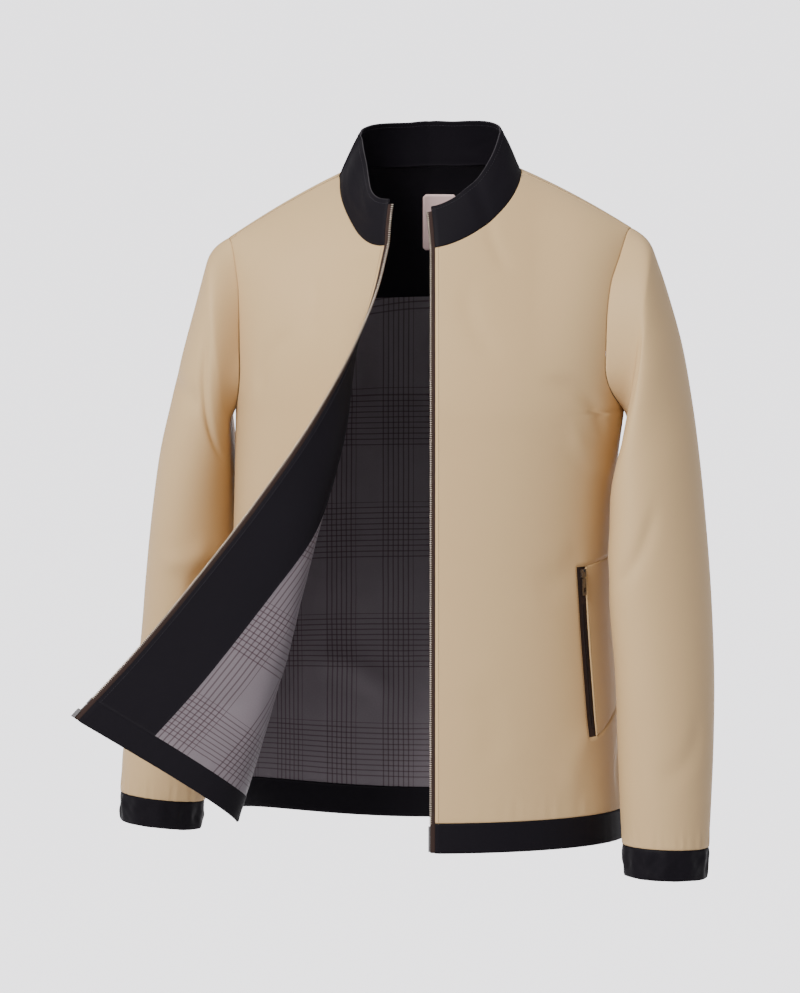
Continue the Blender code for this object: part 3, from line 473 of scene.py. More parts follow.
LOW_ROWS = [z - CHEST_Z for z in (BAND_SEAM_Z, -0.628, -0.601)]
POCKET_ROWS = [z - CHEST_Z for z in np.linspace(-0.576, -0.400, 7)]
HIGH_ROWS = [z - CHEST_Z for z in (-0.369, -0.336, -0.304, -0.273, CHEST_Z)]
ROWS_BELOW = LOW_ROWS + POCKET_ROWS + HIGH_ROWS
CHEST_LINE = len(ROWS_BELOW) - 1
YOKE_SHARES = (0, 0.05, 0.20, 0.55, 1.0)
NECK_SHARES = (0, 0.25, 0.50, 0.73, 0.90, 1.0)
YOKE_CLIMB = len(YOKE_SHARES) - 1
CLIMBS = YOKE_CLIMB + len(NECK_SHARES) - 1
Knot = namedtuple("Knot", "j row share")


def neck_start(side):
    whole = width_of(side, True, SHOULDER_SEAM_ROW)
    return float(cloth_to(side, True, NECK_HALF, SHOULDER_SEAM_ROW) / whole)


def back_top(side, j):
    """Row and share of the width at the top of the back, j columns from the centre."""
    knots = []
    for n in range(NECK_CELLS):
        x = NECK_BACK_HALF * math.sin(n / NECK_CELLS * math.pi / 2)
        row = NECK_BACK_ROW + (1 - NECK_BACK_ROW) * (x / NECK_BACK_HALF) ** 2.2
        knots.append(Knot(n, row, float(cloth_to(side, False, x, row) / width_of(side, False, row))))
    knots.append(Knot(NECK_CELLS, 2 - SHOULDER_SEAM_ROW, neck_start(side)))
    t = np.clip((j - NECK_CELLS) / (BACK_CELLS - NECK_CELLS), 0, 1)
    near = j < NECK_CELLS
    return (np.where(near, through(knots, "row")(j), 2 - SHOULDER_SEAM_ROW),
            np.where(near, through(knots, "share")(j), knots[-1].share * (1 - t) + t))


def back_places(climb, spread):
    """Rows and signed distances of the back above the chest; climb runs from 0 to CLIMBS."""
    climb, spread = np.meshgrid(climb, spread, indexing="ij")
    row = np.zeros(climb.shape)
    v = np.zeros(climb.shape)
    for side in (1, -1):
        mine = spread >= 0 if side > 0 else spread < 0
        s, c = np.abs(spread[mine]), climb[mine]
        top_row, top_share = back_top(side, s * BACK_CELLS)
        yoke = row_at(side, YOKE_REACH * s, YOKE_Z, SIDE_POWER)
        low = yoke * np.interp(c, range(len(YOKE_SHARES)), YOKE_SHARES)
        high = np.interp(c - YOKE_CLIMB, range(len(NECK_SHARES)), NECK_SHARES)
        row[mine] = np.where(c <= YOKE_CLIMB, low, yoke + (top_row - yoke) * high)
        across = s + (top_share - s) * (c / CLIMBS) ** 1.5
        v[mine] = side * across * width_of(side, False, row[mine])
    return row, v


def nearest(values, value):
    """Which of the values lies nearest."""
    return int(np.argmin(np.abs(values - value)))


BACK_SPREAD = np.linspace(-1, 1, 113)
BACK_LOW = np.linspace(ROWS_BELOW[0], 0, 82)[:-1]
BACK_CLIMB = np.concatenate((np.linspace(0, 1, 5)[:-1], np.linspace(1, CLIMBS, 57)))
low_row, low_spread = np.meshgrid(BACK_LOW, BACK_SPREAD, indexing="ij")
high_row, high_v = back_places(BACK_CLIMB, BACK_SPREAD)
back_rows = np.vstack((low_row, high_row))
back_across = np.vstack((low_spread * back_width(low_spread, low_row), high_v))
back_cloth = back_grid(back_rows, back_across)
YOKE_LINE = len(BACK_LOW) + nearest(BACK_CLIMB, YOKE_CLIMB)

EDGE_LINES = (0.0005, 0.0016)  # extra lines this far in from an edge
EDGE_ROLL = 0.0005             # how far the edge turns in at a seam
ENDS = {"b": (0, 0, 1), "t": (0, -1, -2), "l": (1, 0, 1), "r": (1, -1, -2)}


def trim(grid, edges, gap=SEAM_GAP / 2, roll=EDGE_ROLL):
    """Sewn edges of a piece: moved in by half the seam's gap, and rolled in towards it."""
    points, out, flat = (part.copy() for part in grid)
    for edge in edges:
        axis, last, inner = ENDS[edge]
        points, out, flat = (np.moveaxis(part, axis, 0) for part in (points, out, flat))
        reach = np.linalg.norm(points[inner] - points[last], axis=-1, keepdims=True)
        shares = [gap / reach] + [(gap + line) / reach for line in EDGE_LINES]
        depths = (roll, roll * 0.3, 0)
        lines = [[part[last] * (1 - s) + part[inner] * s for s in shares]
                 for part in (points, out, flat)]
        lines[0] = [line - out[last] * depth for line, depth in zip(lines[0], depths)]
        joined = [np.concatenate((np.array(new), part[1:]) if last == 0 else
                                 (part[:-1], np.array(new)[::-1]))
                  for new, part in zip(lines, (points, out, flat))]
        points, out, flat = (np.moveaxis(part, 0, axis) for part in joined)
    return points, out, flat


def solid(name, corners, faces, material=None, coordinates=None):
    """A smooth mesh with its faces turned outward, and its cloth coordinates in metres."""
    mesh = bpy.data.meshes.new(name)
    mesh.from_pydata(corners, [], faces)
    body = bmesh.new()
    body.from_mesh(mesh)
    bmesh.ops.recalc_face_normals(body, faces=body.faces)
    body.to_mesh(mesh)
    body.free()
    if coordinates is not None:
        uv = mesh.uv_layers.new(name="cloth")
        spots = coordinates[[loop.vertex_index for loop in mesh.loops]]
        uv.data.foreach_set("uv", spots.astype(np.float32).ravel())
    mesh.shade_smooth()
    if material:
        mesh.materials.append(material)
    return mesh


def sewn_piece(name, grid, depth, thick, material, present=None, tube=False, bulge=0.3):
    """A piece of cloth on a grid: two layers of points, joined by a rounded rim."""
    points, out, flat = (part.reshape(-1, part.shape[-1]) for part in grid)
    rows, columns = grid[0].shape[:2]
    cells = columns if tube else columns - 1
    if present is None:
        present = np.ones((rows - 1, cells), bool)
    layer = rows * columns
    i, j = np.indices(present.shape)
    k = (j + 1) % columns
    cell = np.stack((i * columns + j, i * columns + k, (i + 1) * columns + k,
                     (i + 1) * columns + j), axis=-1)
    faces = cell[present].tolist() + (cell[present][:, ::-1] + layer).tolist()
    padded = np.pad(present, 1)
    if tube:
        padded[1:-1, [0, -1]] = present[:, [-1, 0]]
    rim, away = [], {}
    for edge, (di, dj) in enumerate(((-1, 0), (0, 1), (1, 0), (0, -1))):
        beyond = padded[1 + di:rows + di, 1 + dj:cells + 1 + dj]
        for around in cell[present & ~beyond].tolist():
            start, end, forward, back = (around[(edge + n) % 4] for n in range(4))
            rim.append((start, end))
            away.setdefault(start, []).append(points[start] - points[back])
            away.setdefault(end, []).append(points[end] - points[forward])
    outer, inner = points - out * depth, points - out * (depth + thick)
    place, middles = {}, []
    for node, ways in away.items():
        way = sum(w / max(np.linalg.norm(w), 1e-9) for w in ways)
        way /= max(np.linalg.norm(way), 1e-9)
        place[node] = 2 * layer + len(place)
        middles.append((outer[node] + inner[node]) / 2 + way * thick * bulge)
    for start, end in rim:
        a, b = place[start], place[end]
        faces += [(end, start, a, b), (b, a, start + layer, end + layer)]
    corners = np.vstack((outer, inner, middles))
    coordinates = np.vstack((flat, flat, flat[list(place)]))
    used, faces = np.unique(faces, return_inverse=True)
    return placed(name, solid(name, corners[used].tolist(), faces.reshape(-1, 4).tolist(),
                              material, coordinates[used]))


MOTTLE = 0.9                  # strength and scale of the soft mottling
MOTTLE_SCALE = 9.0
FIBRE_TONE = 0.30             # and of the fibres' specks
FIBRE_SCALE = 900.0


def woven(name, colour, shade, thread, rough, sheen, bump, shine=0.10):
    """Woven cloth on its own coordinates: fine threads, soft mottling and a sheen."""
    cloth = Surface(name)
    flat = cloth.node("ShaderNodeUVMap", uv_map="cloth")
    across, up = (cloth.sine(cloth.axis(flat, axis), thread) for axis in "XY")
    place = cloth.place()
    cloud = cloth.noise(place, MOTTLE_SCALE, 3.0)
    fine = cloth.noise(place, FIBRE_SCALE, 2.0)
    tone = cloth.math("MULTIPLY_ADD", cloud, MOTTLE, 0.5 - MOTTLE / 2)
    tone = cloth.math("ADD", tone, cloth.math("MULTIPLY", fine, FIBRE_TONE))
    height = cloth.math("MULTIPLY_ADD", cloth.math("MULTIPLY", across, up), 0.5, 0.5)
    height = cloth.math("ADD", height, fine)
    return cloth.finish({
        "Base Color": cloth.mix(tone, shade, colour), "Normal": cloth.bump(height, bump, thread / 8),
        "Roughness": rough, "Sheen Weight": sheen, "Sheen Roughness": 0.45,
        "Specular IOR Level": shine})


def sewn_on(piece, slot, nodes, flat=None, area=None, held="hung"):
    """Every piece of cloth rides on the garment and stands for its CAD nodes."""
    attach(piece, "garment")
    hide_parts(*nodes)


sand_cloth = woven("sand_softshell", (0.575, 0.396, 0.204), (0.535, 0.366, 0.186),
                   thread=0.0007, rough=0.58, sheen=0.03, bump=0.25, shine=0.22)
back_piece = sewn_piece("back_panel", trim(back_cloth, "btlr"), 0, SHELL, sand_cloth)
sewn_on(back_piece, "cloth", ["back"], flat=(0.57, 0.72), area=0.35)

# ---------------------------------------------------------------- fronts
# Two fronts from the zip to the side seam and armhole. The left hangs down; the right is
# turned back from the neck on, so that it rolls over at the side and shows its inside.
FRONT_EDGE = 0.0052
FACING_WIDTH = 0.070
NECK_TOP_Z = -0.002
NECK_DROP = 0.0715
NECK_POWER = 1.6
POCKET_HALF = 0.0058
POCKET_TOP_Z = -0.400
POCKET_BOTTOM_Z = -0.576
POCKET_TOP_INSET = 0.088
POCKET_BOTTOM_INSET = 0.082
SIDE_TOP_Z = -0.391
SIDE_BOTTOM_Z = -0.545
ROLL_START = 5.0
SWELL_MOST = 1.25
START_BLEND = -0.20
LEAVE_STEP = 0.002            # the way off the body is read over this much cloth each side
FACING_CELLS = 3
ZIP_COLUMN = 8
CELLS_ACROSS = 12
SIDE_CELLS = CELLS_ACROSS - ZIP_COLUMN - 1
FRONT_GATHERS = (0.015, 0.03, 0.0006)
GATHERS_FROM = 0.02           # the gathers fade out towards the front edge
GATHERS_FADE = 0.05
POCKET_LIP = 0.0006           # the opening's edge beside the zip: set back, and turned in
POCKET_DIP = 0.0004
SIDES = ((1, "left"), (-1, "right"))

Turn = namedtuple("Turn", "height roll_x roll_y roll_z heading climb edge_x edge_y edge_z")
TURNED = [
    Turn(-0.686, -0.199, -0.078, -0.662, 92, 18, -0.363, -0.097, -0.553),
    Turn(-0.580, -0.170, -0.108, -0.566, 92, 17, -0.295, -0.126, -0.476),
    Turn(-0.480, -0.141, -0.135, -0.457, 92, 15, -0.232, -0.155, -0.397),
    Turn(-0.380, -0.115, -0.158, -0.353, 90, 12, -0.174, -0.182, -0.319),
    Turn(-0.275, -0.088, -0.165, -0.254, 86, 9, -0.118, -0.200, -0.235),
    Turn(-0.175, -0.080, -0.152, -0.166, 66, 5, -0.073, -0.190, -0.152),
    Turn(-0.120, -0.078, -0.126, -0.117, 50, 2, -0.054, -0.154, -0.106),
    Turn(-0.0735, -0.080, -0.092, -0.079, 38, 0, -0.0435, -0.113, -0.067),
]
turned = {name: through(TURNED, name) for name in Turn._fields[1:]}


def length_of(points):
    return float(np.linalg.norm(np.diff(points, axis=0), axis=1).sum())


OUT_STEPS = np.linspace(0, 1, 90)[:, None]
BACK_STEPS = np.linspace(0, 1, 110)[:, None]


def turned_line(row):
    """Points along a row of the turned-back front, at CLOTH_STEPS from the centre line."""
    height = float(torso(-1, 0, row)[2])
    upper = float(armhole_right(min(max(row, 0), 1)))
    start = upper + (90 - upper) * float(smooth(row / START_BLEND))
    column = np.array(ring_column(start - ROLL_START))
    leave = float(table_at(lengths[-1, True], np.array(ring_line(row)), column))
    foot, inner, outer = closed_point(-1, True, row, leave + np.array((0, -LEAVE_STEP, LEAVE_STEP)))
    way = unit(inner - outer)
    at = {name: float(read(height)) for name, read in turned.items()}
    roll = np.array((at["roll_x"], at["roll_y"], at["roll_z"]))
    edge = np.array((at["edge_x"], at["edge_y"], at["edge_z"]))
    heading, climb = math.radians(at["heading"]), math.radians(at["climb"])
    over = np.array((math.cos(heading) * math.cos(climb), -math.sin(heading) * math.cos(climb),
                     math.sin(climb)))
    second = np.linalg.norm(edge - roll)
    last_way = 1.5 * (edge - roll) - 0.5 * over * second
    back = between(roll, over * second, edge, last_way, BACK_STEPS)
    low, high = 0.2, SWELL_MOST
    for _ in range(16):
        swell = (low + high) / 2
        first = np.linalg.norm(roll - foot) * swell
        path = np.vstack((between(foot, way * first, roll, over * first, OUT_STEPS), back[1:]))
        if length_of(path) > leave:
            high = swell
        else:
            low = swell
    path = path[::-1]
    along = run_along(path)
    along *= leave / along[-1]
    points = np.stack([np.interp(CLOTH_STEPS, along, path[:, k]) for k in range(3)], axis=1)
    beyond = CLOTH_STEPS > leave
    points[beyond] = closed_point(-1, True, row, CLOTH_STEPS[beyond])
    before = CLOTH_STEPS < 0
    points[before] = path[0] - unit(path[0] - path[1]) * CLOTH_STEPS[before][:, None]
    return points


TURN_STEP = 0.006
TURN_HEIGHTS = np.arange(-0.732, -0.060, TURN_STEP)
centre_top = float(ridge_z(-1, 0.0))
turn_rows = [z - CHEST_Z if z <= CHEST_Z else
             math.asin(((z - CHEST_Z) / (centre_top - CHEST_Z)) ** (CHEST_POWER / 2)) * 2 / math.pi
             for z in TURN_HEIGHTS]
turned_table = np.array([turned_line(row) for row in turn_rows])
NECK_ROW = float(row_at(1, 0.0, NECK_TOP_Z - NECK_DROP, CHEST_POWER))


def curve_weights(t):
    """Weights of four neighbours for a smooth curve through points."""
    return np.stack((-t ** 3 + 2 * t ** 2 - t, 3 * t ** 3 - 5 * t ** 2 + 2,
                     -3 * t ** 3 + 4 * t ** 2 + t, t ** 3 - t ** 2)) / 2


def turned_low(row, u):
    height = torso(-1, 0, row)[..., 2]
    i = np.clip((height - TURN_HEIGHTS[0]) / TURN_STEP, 1, len(TURN_HEIGHTS) - 2.001)
    j = np.clip((u - CLOTH_STEPS[0]) / CLOTH_STEP, 1, len(CLOTH_STEPS) - 2.001)
    k, m = i.astype(int), j.astype(int)
    up, across = curve_weights(i - k), curve_weights(j - m)
    total = 0
    for a in range(4):
        for b in range(4):
            total = total + (up[a] * across[b])[..., None] * turned_table[k + a - 1, m + b - 1]
    return total


def turned_point(row, u):
    """Points of the turned-back right front."""
    row, u = np.broadcast_arrays(np.asarray(row, float), np.asarray(u, float))
    fade = 1 - smooth((row - NECK_ROW) / (SHOULDER_SEAM_ROW - NECK_ROW))
    neck_row = np.full(row.shape, NECK_ROW)
    shift = turned_low(neck_row, u) - closed_point(-1, True, neck_row, u)
    high = closed_point(-1, True, row, u) + fade[..., None] * shift
    return np.where((row > NECK_ROW)[..., None], high, turned_low(np.minimum(row, NECK_ROW), u))


def left_point(row, u):
    return closed_point(1, True, row, u)


LEFT_CREASES = [
    Crease(0.205, -0.270, 0.120, -0.195, 0.009, -0.0030),
    Crease(0.225, -0.310, 0.150, -0.255, 0.010, 0.0019),
    Crease(0.060, -0.052, 0.082, -0.105, 0.007, -0.0014),
    Crease(0.035, -0.120, 0.070, -0.180, 0.011, -0.0012),
    Crease(0.255, -0.580, 0.236, -0.640, 0.008, -0.0024),
    Crease(0.110, -0.420, 0.170, -0.380, 0.018, -0.0015),
    Crease(0.150, -0.640, 0.190, -0.560, 0.016, 0.0015),
    Crease(0.060, -0.600, 0.050, -0.520, 0.016, -0.0010),
]
RIGHT_CREASES = [
    Crease(0.195, -0.225, 0.140, -0.160, 0.009, -0.0024),
    Crease(0.100, -0.110, 0.120, -0.165, 0.009, -0.0012),
    Crease(0.075, -0.160, 0.090, -0.230, 0.010, 0.0012),
    Crease(0.100, -0.470, 0.160, -0.520, 0.016, -0.0015),
    Crease(0.090, -0.600, 0.125, -0.560, 0.013, 0.0014),
]


def front_grid(side, row, u):
    """Points, outward directions and cloth coordinates of a front."""
    surface = left_point if side > 0 else turned_point
    out = directions(surface, row, u, side)
    height = cloth_height(row)
    lift = creased(LEFT_CREASES if side > 0 else RIGHT_CREASES, u, height)
    gathers = puckers(u, height, BAND_SEAM_Z, *FRONT_GATHERS)
    lift = lift + gathers * smooth((u - GATHERS_FROM) / GATHERS_FADE)
    return surface(row, u) + out * lift[..., None], out, np.stack((u, height), axis=-1)


def pocket_line(side, z):
    """Cloth from the centre line to the middle of the pocket zip, at height z."""
    t = (POCKET_TOP_Z - z) / (POCKET_TOP_Z - POCKET_BOTTOM_Z)
    inset = POCKET_TOP_INSET + (POCKET_BOTTOM_INSET - POCKET_TOP_INSET) * t
    return width_of(side, True, z - CHEST_Z) - inset


chest_room = float(width_of(1, True, 0.0)) - FRONT_EDGE
facing_end = (FACING_WIDTH - FRONT_EDGE) / chest_room
SHARES = np.concatenate((np.linspace(0, facing_end, 4), np.linspace(facing_end, 0.66, 6)[1:],
                         np.linspace(0.70, 1, 4)))
FIRST_POCKET = len(LOW_ROWS)
LAST_POCKET = FIRST_POCKET + len(POCKET_ROWS) - 1


def seam_lift(i, k):
    """Rise of a row between the pocket zip (k = 0) and the side seam (k = 1)."""
    below = (SIDE_BOTTOM_Z - POCKET_BOTTOM_Z) * np.sin(k * math.pi / 2) ** 1.3
    above = (SIDE_TOP_Z - POCKET_TOP_Z) * k
    if i <= FIRST_POCKET:
        return below * (i / FIRST_POCKET) ** 2
    if i <= LAST_POCKET:
        t = (i - FIRST_POCKET) / (LAST_POCKET - FIRST_POCKET)
        return below * (1 - t) + above * t
    return above * (1 - (i - LAST_POCKET) / len(HIGH_ROWS))


def low_line(side, i, j):
    """Rows and distances along a line of a front below the chest."""
    row = float(np.interp(i, range(len(ROWS_BELOW)), ROWS_BELOW))
    z = CHEST_Z + row
    width = float(width_of(side, True, row))
    blend = float(smooth((z - POCKET_TOP_Z) / (CHEST_Z - POCKET_TOP_Z)))
    sides = [float(pocket_line(side, z)) + way * POCKET_HALF for way in (-1, 1)]
    for n in range(2):
        at_chest = FRONT_EDGE + (width - FRONT_EDGE) * SHARES[ZIP_COLUMN + n]
        sides[n] += blend * (at_chest - sides[n])
    k = np.clip((j - ZIP_COLUMN - 1) / SIDE_CELLS, 0, 1)
    rows = row + seam_lift(i, k)
    knots = (FRONT_EDGE, FACING_WIDTH, sides[0], sides[1])
    u = np.interp(j, (0, FACING_CELLS, ZIP_COLUMN, ZIP_COLUMN + 1), knots)
    beyond = sides[1] + (width_of(side, True, rows) - sides[1]) * k
    return rows, np.where(j > ZIP_COLUMN + 1, beyond, u)


def neck_front_z(x):
    share = np.maximum(1 - (x / NECK_HALF) ** NECK_POWER, 0)
    return NECK_TOP_Z - NECK_DROP * share ** (1 / NECK_POWER)


def front_top(side, j):
    """Rows and distances at the top of a front, on the neck or shoulder seam."""
    x = FRONT_EDGE + (NECK_HALF - FRONT_EDGE) * np.sin(np.minimum(j / NECK_CELLS, 1) * math.pi / 2)
    neck = np.minimum(row_at(side, x, neck_front_z(x), CHEST_POWER), SHOULDER_SEAM_ROW)
    row = np.where(j < NECK_CELLS, neck, SHOULDER_SEAM_ROW)
    whole = float(width_of(side, True, SHOULDER_SEAM_ROW))
    start = float(cloth_to(side, True, NECK_HALF, SHOULDER_SEAM_ROW))
    t = np.clip((j - NECK_CELLS) / (CELLS_ACROSS - NECK_CELLS), 0, 1)
    return row, np.where(j < NECK_CELLS, cloth_to(side, True, x, row), start + (whole - start) * t)


def high_line(side, t, j):
    """Rows and distances along a line of a front at a share t of the way to its top."""
    top_row, top_u = front_top(side, j)
    row = top_row * t
    share = (top_u - FRONT_EDGE) / (width_of(side, True, top_row) - FRONT_EDGE)
    start = np.interp(j, range(CELLS_ACROSS + 1), SHARES)
    across = start + (share - start) * t ** 1.5
    return row, FRONT_EDGE + (width_of(side, True, row) - FRONT_EDGE) * across


ACROSS = np.concatenate((np.linspace(0, FACING_CELLS, 16)[:-1],
                         np.linspace(FACING_CELLS, ZIP_COLUMN, 29)[:-1],
                         (ZIP_COLUMN, ZIP_COLUMN + 0.5),
                         np.linspace(ZIP_COLUMN + 1, CELLS_ACROSS, 17)))
POCKET_AT = [nearest(ACROSS, n) for n in (ZIP_COLUMN, ZIP_COLUMN + 1)]
FACING_AT = nearest(ACROSS, FACING_CELLS)
UP_LOW = np.concatenate((np.linspace(0, FIRST_POCKET, 16)[:-1],
                         np.linspace(FIRST_POCKET, LAST_POCKET, 37)[:-1],
                         np.linspace(LAST_POCKET, CHEST_LINE, 31)[:-1]))
UP_HIGH = np.concatenate((np.linspace(0, 0.10, 7)[:-1], np.linspace(0.10, 1, 47)))
POCKET_FROM, POCKET_TO = (nearest(UP_LOW, n) for n in (FIRST_POCKET, LAST_POCKET))


def stacked(lines):
    """Rows and distances of several lines, as one array each."""
    return tuple(np.array(part) for part in zip(*lines))


fronts = {}
front_sheet = {}
for side, _ in SIDES:
    front_sheet[side] = stacked([low_line(side, i, ACROSS) for i in UP_LOW]
                                + [high_line(side, t, ACROSS) for t in UP_HIGH])
    fronts[side] = front_grid(side, *front_sheet[side])


def cut(grid, rows, columns):
    return tuple(part[rows, columns] for part in grid)


for side, word in SIDES:
    points, out, flat = trim(fronts[side], "btr")
    low, high = (line + len(EDGE_LINES) for line in (POCKET_FROM, POCKET_TO))
    column = POCKET_AT[0]
    present = np.ones((points.shape[0] - 1, points.shape[1] - 1), bool)
    present[low:high, column:] = False
    edge = points[low:high + 1, column]
    edge -= unit(edge - points[low:high + 1, column - 1]) * POCKET_LIP
    edge -= out[low:high + 1, column] * POCKET_DIP
    for line, way in ((low, -1), (high, 1)):
        step = points[line + way, column:] - points[line, column:]
        points[line, column:] += unit(step) * SEAM_GAP / 2
        points[line, column + 3:] -= out[line, column + 3:] * EDGE_ROLL
    front_piece = sewn_piece("front_panel_" + word, (points, out, flat), 0, SHELL, sand_cloth, present)
    sewn_on(front_piece, "cloth", ["front_" + word], flat=(0.30, 0.69), area=0.155)

# ---------------------------------------------------------------- pocket side pieces
# Behind each pocket zip a separate piece of the same cloth runs to the side seam, between a
# seam that climbs from the pocket's top and one that curves up from its foot.
for side, word in SIDES:
    area = cut(fronts[side], slice(POCKET_FROM, POCKET_TO + 1), slice(POCKET_AT[1], None))
    side_piece = sewn_piece("pocket_side_piece_" + word, trim(area, "btlr"), 0, SHELL, sand_cloth)
    sewn_on(side_piece, "cloth", ["pocket_side_" + word], flat=(0.08, 0.17), area=0.0118)

# ---------------------------------------------------------------- neck facing, linings, label
# The back neck facing is black cloth over the whole width of the shoulders. Below it hangs a
# thin lining woven with a burgundy check, and the fronts have a black facing and lining.
LINING = 0.0010
LAYER = SHELL + SEAM_GAP
LINE_ACROSS = 0.00536         # between the lines of the check, and what a group takes up
GROUP_ACROSS = 0.0613
LINE_UP = 0.0057
GROUP_UP = 0.1168
CHECK_WANDER = 0.0016         # how far the lines of the check wander
LINING_THREAD = 0.0005
LABEL_LEFT = -0.0072
LABEL_RIGHT = 0.0278
LABEL_TOP = -0.029
LABEL_BOTTOM = -0.0888
LABEL_CLEAR = 0.0006
LABEL_THICK = 0.0010
LABEL_CORNER = 0.0028

black_cloth = woven("black_softshell", (0.0065, 0.0052, 0.0080), (0.0045, 0.0036, 0.0056),
                    thread=0.0007, rough=0.62, sheen=0.02, bump=0.30)


def check_lines(cloth, value, line, group, start, count, wide):
    """1 on the lines of one direction of the check, and 0 between them."""
    place = cloth.math("WRAP", cloth.math("SUBTRACT", value, start), group, 0.0)
    inside = cloth.math("LESS_THAN", place, line * count)
    step = cloth.math("WRAP", place, line, 0.0)
    off = cloth.math("ABSOLUTE", cloth.math("SUBTRACT", step, line / 2))
    soft = cloth.node("ShaderNodeMapRange", off, wide * 0.7, wide * 0.3, 0.0, 1.0)
    return cloth.math("MULTIPLY", soft, inside)


def checked(name, ground, line_colour, up_start, across_start):
    """Light plain-weave lining with groups of fine lines both ways."""
    cloth = Surface(name)
    flat = cloth.node("ShaderNodeUVMap", uv_map="cloth")
    shift = cloth.math("MULTIPLY", cloth.noise(flat, 14.0), CHECK_WANDER)
    across, up = (cloth.math("ADD", cloth.axis(flat, axis), shift) for axis in "XY")
    upright = check_lines(cloth, across, LINE_ACROSS, GROUP_ACROSS, across_start,
                          count=6.5, wide=0.0013)
    level = check_lines(cloth, up, LINE_UP, GROUP_UP, up_start, count=10.5, wide=0.0012)
    lines = cloth.math("MULTIPLY", cloth.math("MAXIMUM", upright, level), 0.72)
    crossings = cloth.math("MULTIPLY", cloth.math("MULTIPLY", upright, level), 0.28)
    tone = cloth.math("MULTIPLY", cloth.noise(flat, 700.0), cloth.noise(flat, 18.0))
    tone = cloth.math("MULTIPLY_ADD", tone, 1.6, 0.1)
    base = cloth.mix(tone, [0.80 * c for c in ground], [1.12 * c for c in ground])
    weave = cloth.math("MULTIPLY", *(cloth.sine(way, LINING_THREAD) for way in (across, up)))
    return cloth.finish({
        "Base Color": cloth.mix(cloth.math("ADD", lines, crossings), base, line_colour),
        "Normal": cloth.bump(weave, 0.25, LINING_THREAD / 10), "Roughness": 0.48,
        "Sheen Weight": 0.12})


lining_cloth = checked("checked_lining", (0.150, 0.126, 0.142), (0.030, 0.007, 0.014),
                       up_start=-0.6470, across_start=0.0105)
lined = cut(back_cloth, slice(0, YOKE_LINE + 1), slice(None))
back_lining = sewn_piece("back_lining", trim(lined, "btlr"), LAYER, LINING, lining_cloth)
sewn_on(back_lining, "checked_lining", ["lining_back"], flat=(0.57, 0.53), area=0.285)
faced = cut(back_cloth, slice(YOKE_LINE, None), slice(None))
neck_facing = sewn_piece("back_neck_facing", trim(faced, "btlr"), LAYER, LINING, black_cloth)
sewn_on(neck_facing, "black_cloth", ["neck_facing"], flat=(0.44, 0.16), area=0.060)
for side, word in SIDES:
    facing = cut(fronts[side], slice(None), slice(0, FACING_AT + 1))
    facing_piece = sewn_piece("front_facing_" + word, trim(facing, "btr"), LAYER, LINING,
                              black_cloth)
    sewn_on(facing_piece, "black_cloth", ["facing_" + word], flat=(0.10, 0.60), area=0.042)
    lined = cut(fronts[side], slice(None), slice(FACING_AT, None))
    front_lining = sewn_piece("front_lining_" + word, trim(lined, "btlr"), LAYER, LINING,
                              lining_cloth)
    sewn_on(front_lining, "checked_lining", ["lining_" + word], flat=(0.26, 0.67), area=0.130)

satin = Surface("label_satin")
ribs = satin.node("ShaderNodeTexWave", output="Fac",
                  at={"Vector": satin.place(), "Scale": 260.0, "Distortion": 0.6})
label_satin = satin.finish({
    "Base Color": satin.mix(ribs, (0.74, 0.52, 0.50), (0.84, 0.62, 0.60)),
    "Normal": satin.bump(ribs, 0.2, 0.0001), "Roughness": 0.38, "Sheen Weight": 0.2})

# the label: an upright oblong of satin with rounded corners, laid on the facing
label_rows = []
for z in np.linspace(LABEL_BOTTOM, LABEL_TOP, 25):
    off = max(LABEL_CORNER - (z - LABEL_BOTTOM), LABEL_CORNER - (LABEL_TOP - z), 0)
    inset = LABEL_CORNER - math.sqrt(max(LABEL_CORNER ** 2 - off ** 2, 0))
    xs = np.linspace(LABEL_LEFT + inset, LABEL_RIGHT - inset, 15)
    row = row_at(1, np.abs(xs), z, SIDE_POWER)
    label_rows.append((row, np.sign(xs) * cloth_to(1, False, np.abs(xs), row)))
label = sewn_piece("satin_neck_label", back_grid(*stacked(label_rows)),
                   LAYER + LINING + LABEL_CLEAR, LABEL_THICK, label_satin)
sewn_on(label, "label_satin", ["neck_label"], flat=(0.035, 0.060), held="laid")

# ---------------------------------------------------------------- sleeves
# One-piece sleeves set into the armholes. The left hangs forward beside the body, and the
# right hangs back, behind the turned-back front.
Arm = namedtuple("Arm", "station outer_x outer_z inner_x inner_z middle_y half_depth turn")
SLEEVE_LEFT = [
    Arm(1, 0.2307, -0.083, 0.2030, -0.268, -0.002, 0.064, 22),
    Arm(2, 0.2462, -0.124, 0.1975, -0.292, -0.011, 0.066, 34),
    Arm(3, 0.2606, -0.174, 0.1910, -0.312, -0.022, 0.067, 38),
    Arm(4, 0.2705, -0.232, 0.1845, -0.335, -0.034, 0.066, 38),
    Arm(5, 0.2775, -0.292, 0.1830, -0.365, -0.047, 0.063, 32),
    Arm(6, 0.2834, -0.357, 0.1815, -0.400, -0.058, 0.060, 28),
    Arm(7, 0.2884, -0.427, 0.1835, -0.446, -0.066, 0.057, 24),
    Arm(8, 0.2915, -0.510, 0.1890, -0.512, -0.073, 0.053, 18),
    Arm(9, 0.2908, -0.580, 0.1915, -0.578, -0.077, 0.049, 12),
    Arm(10, 0.2884, -0.640, 0.1940, -0.638, -0.080, 0.045, 8),
    Arm(11, 0.2858, -0.6885, 0.1965, -0.6845, -0.082, 0.041, 4),
]
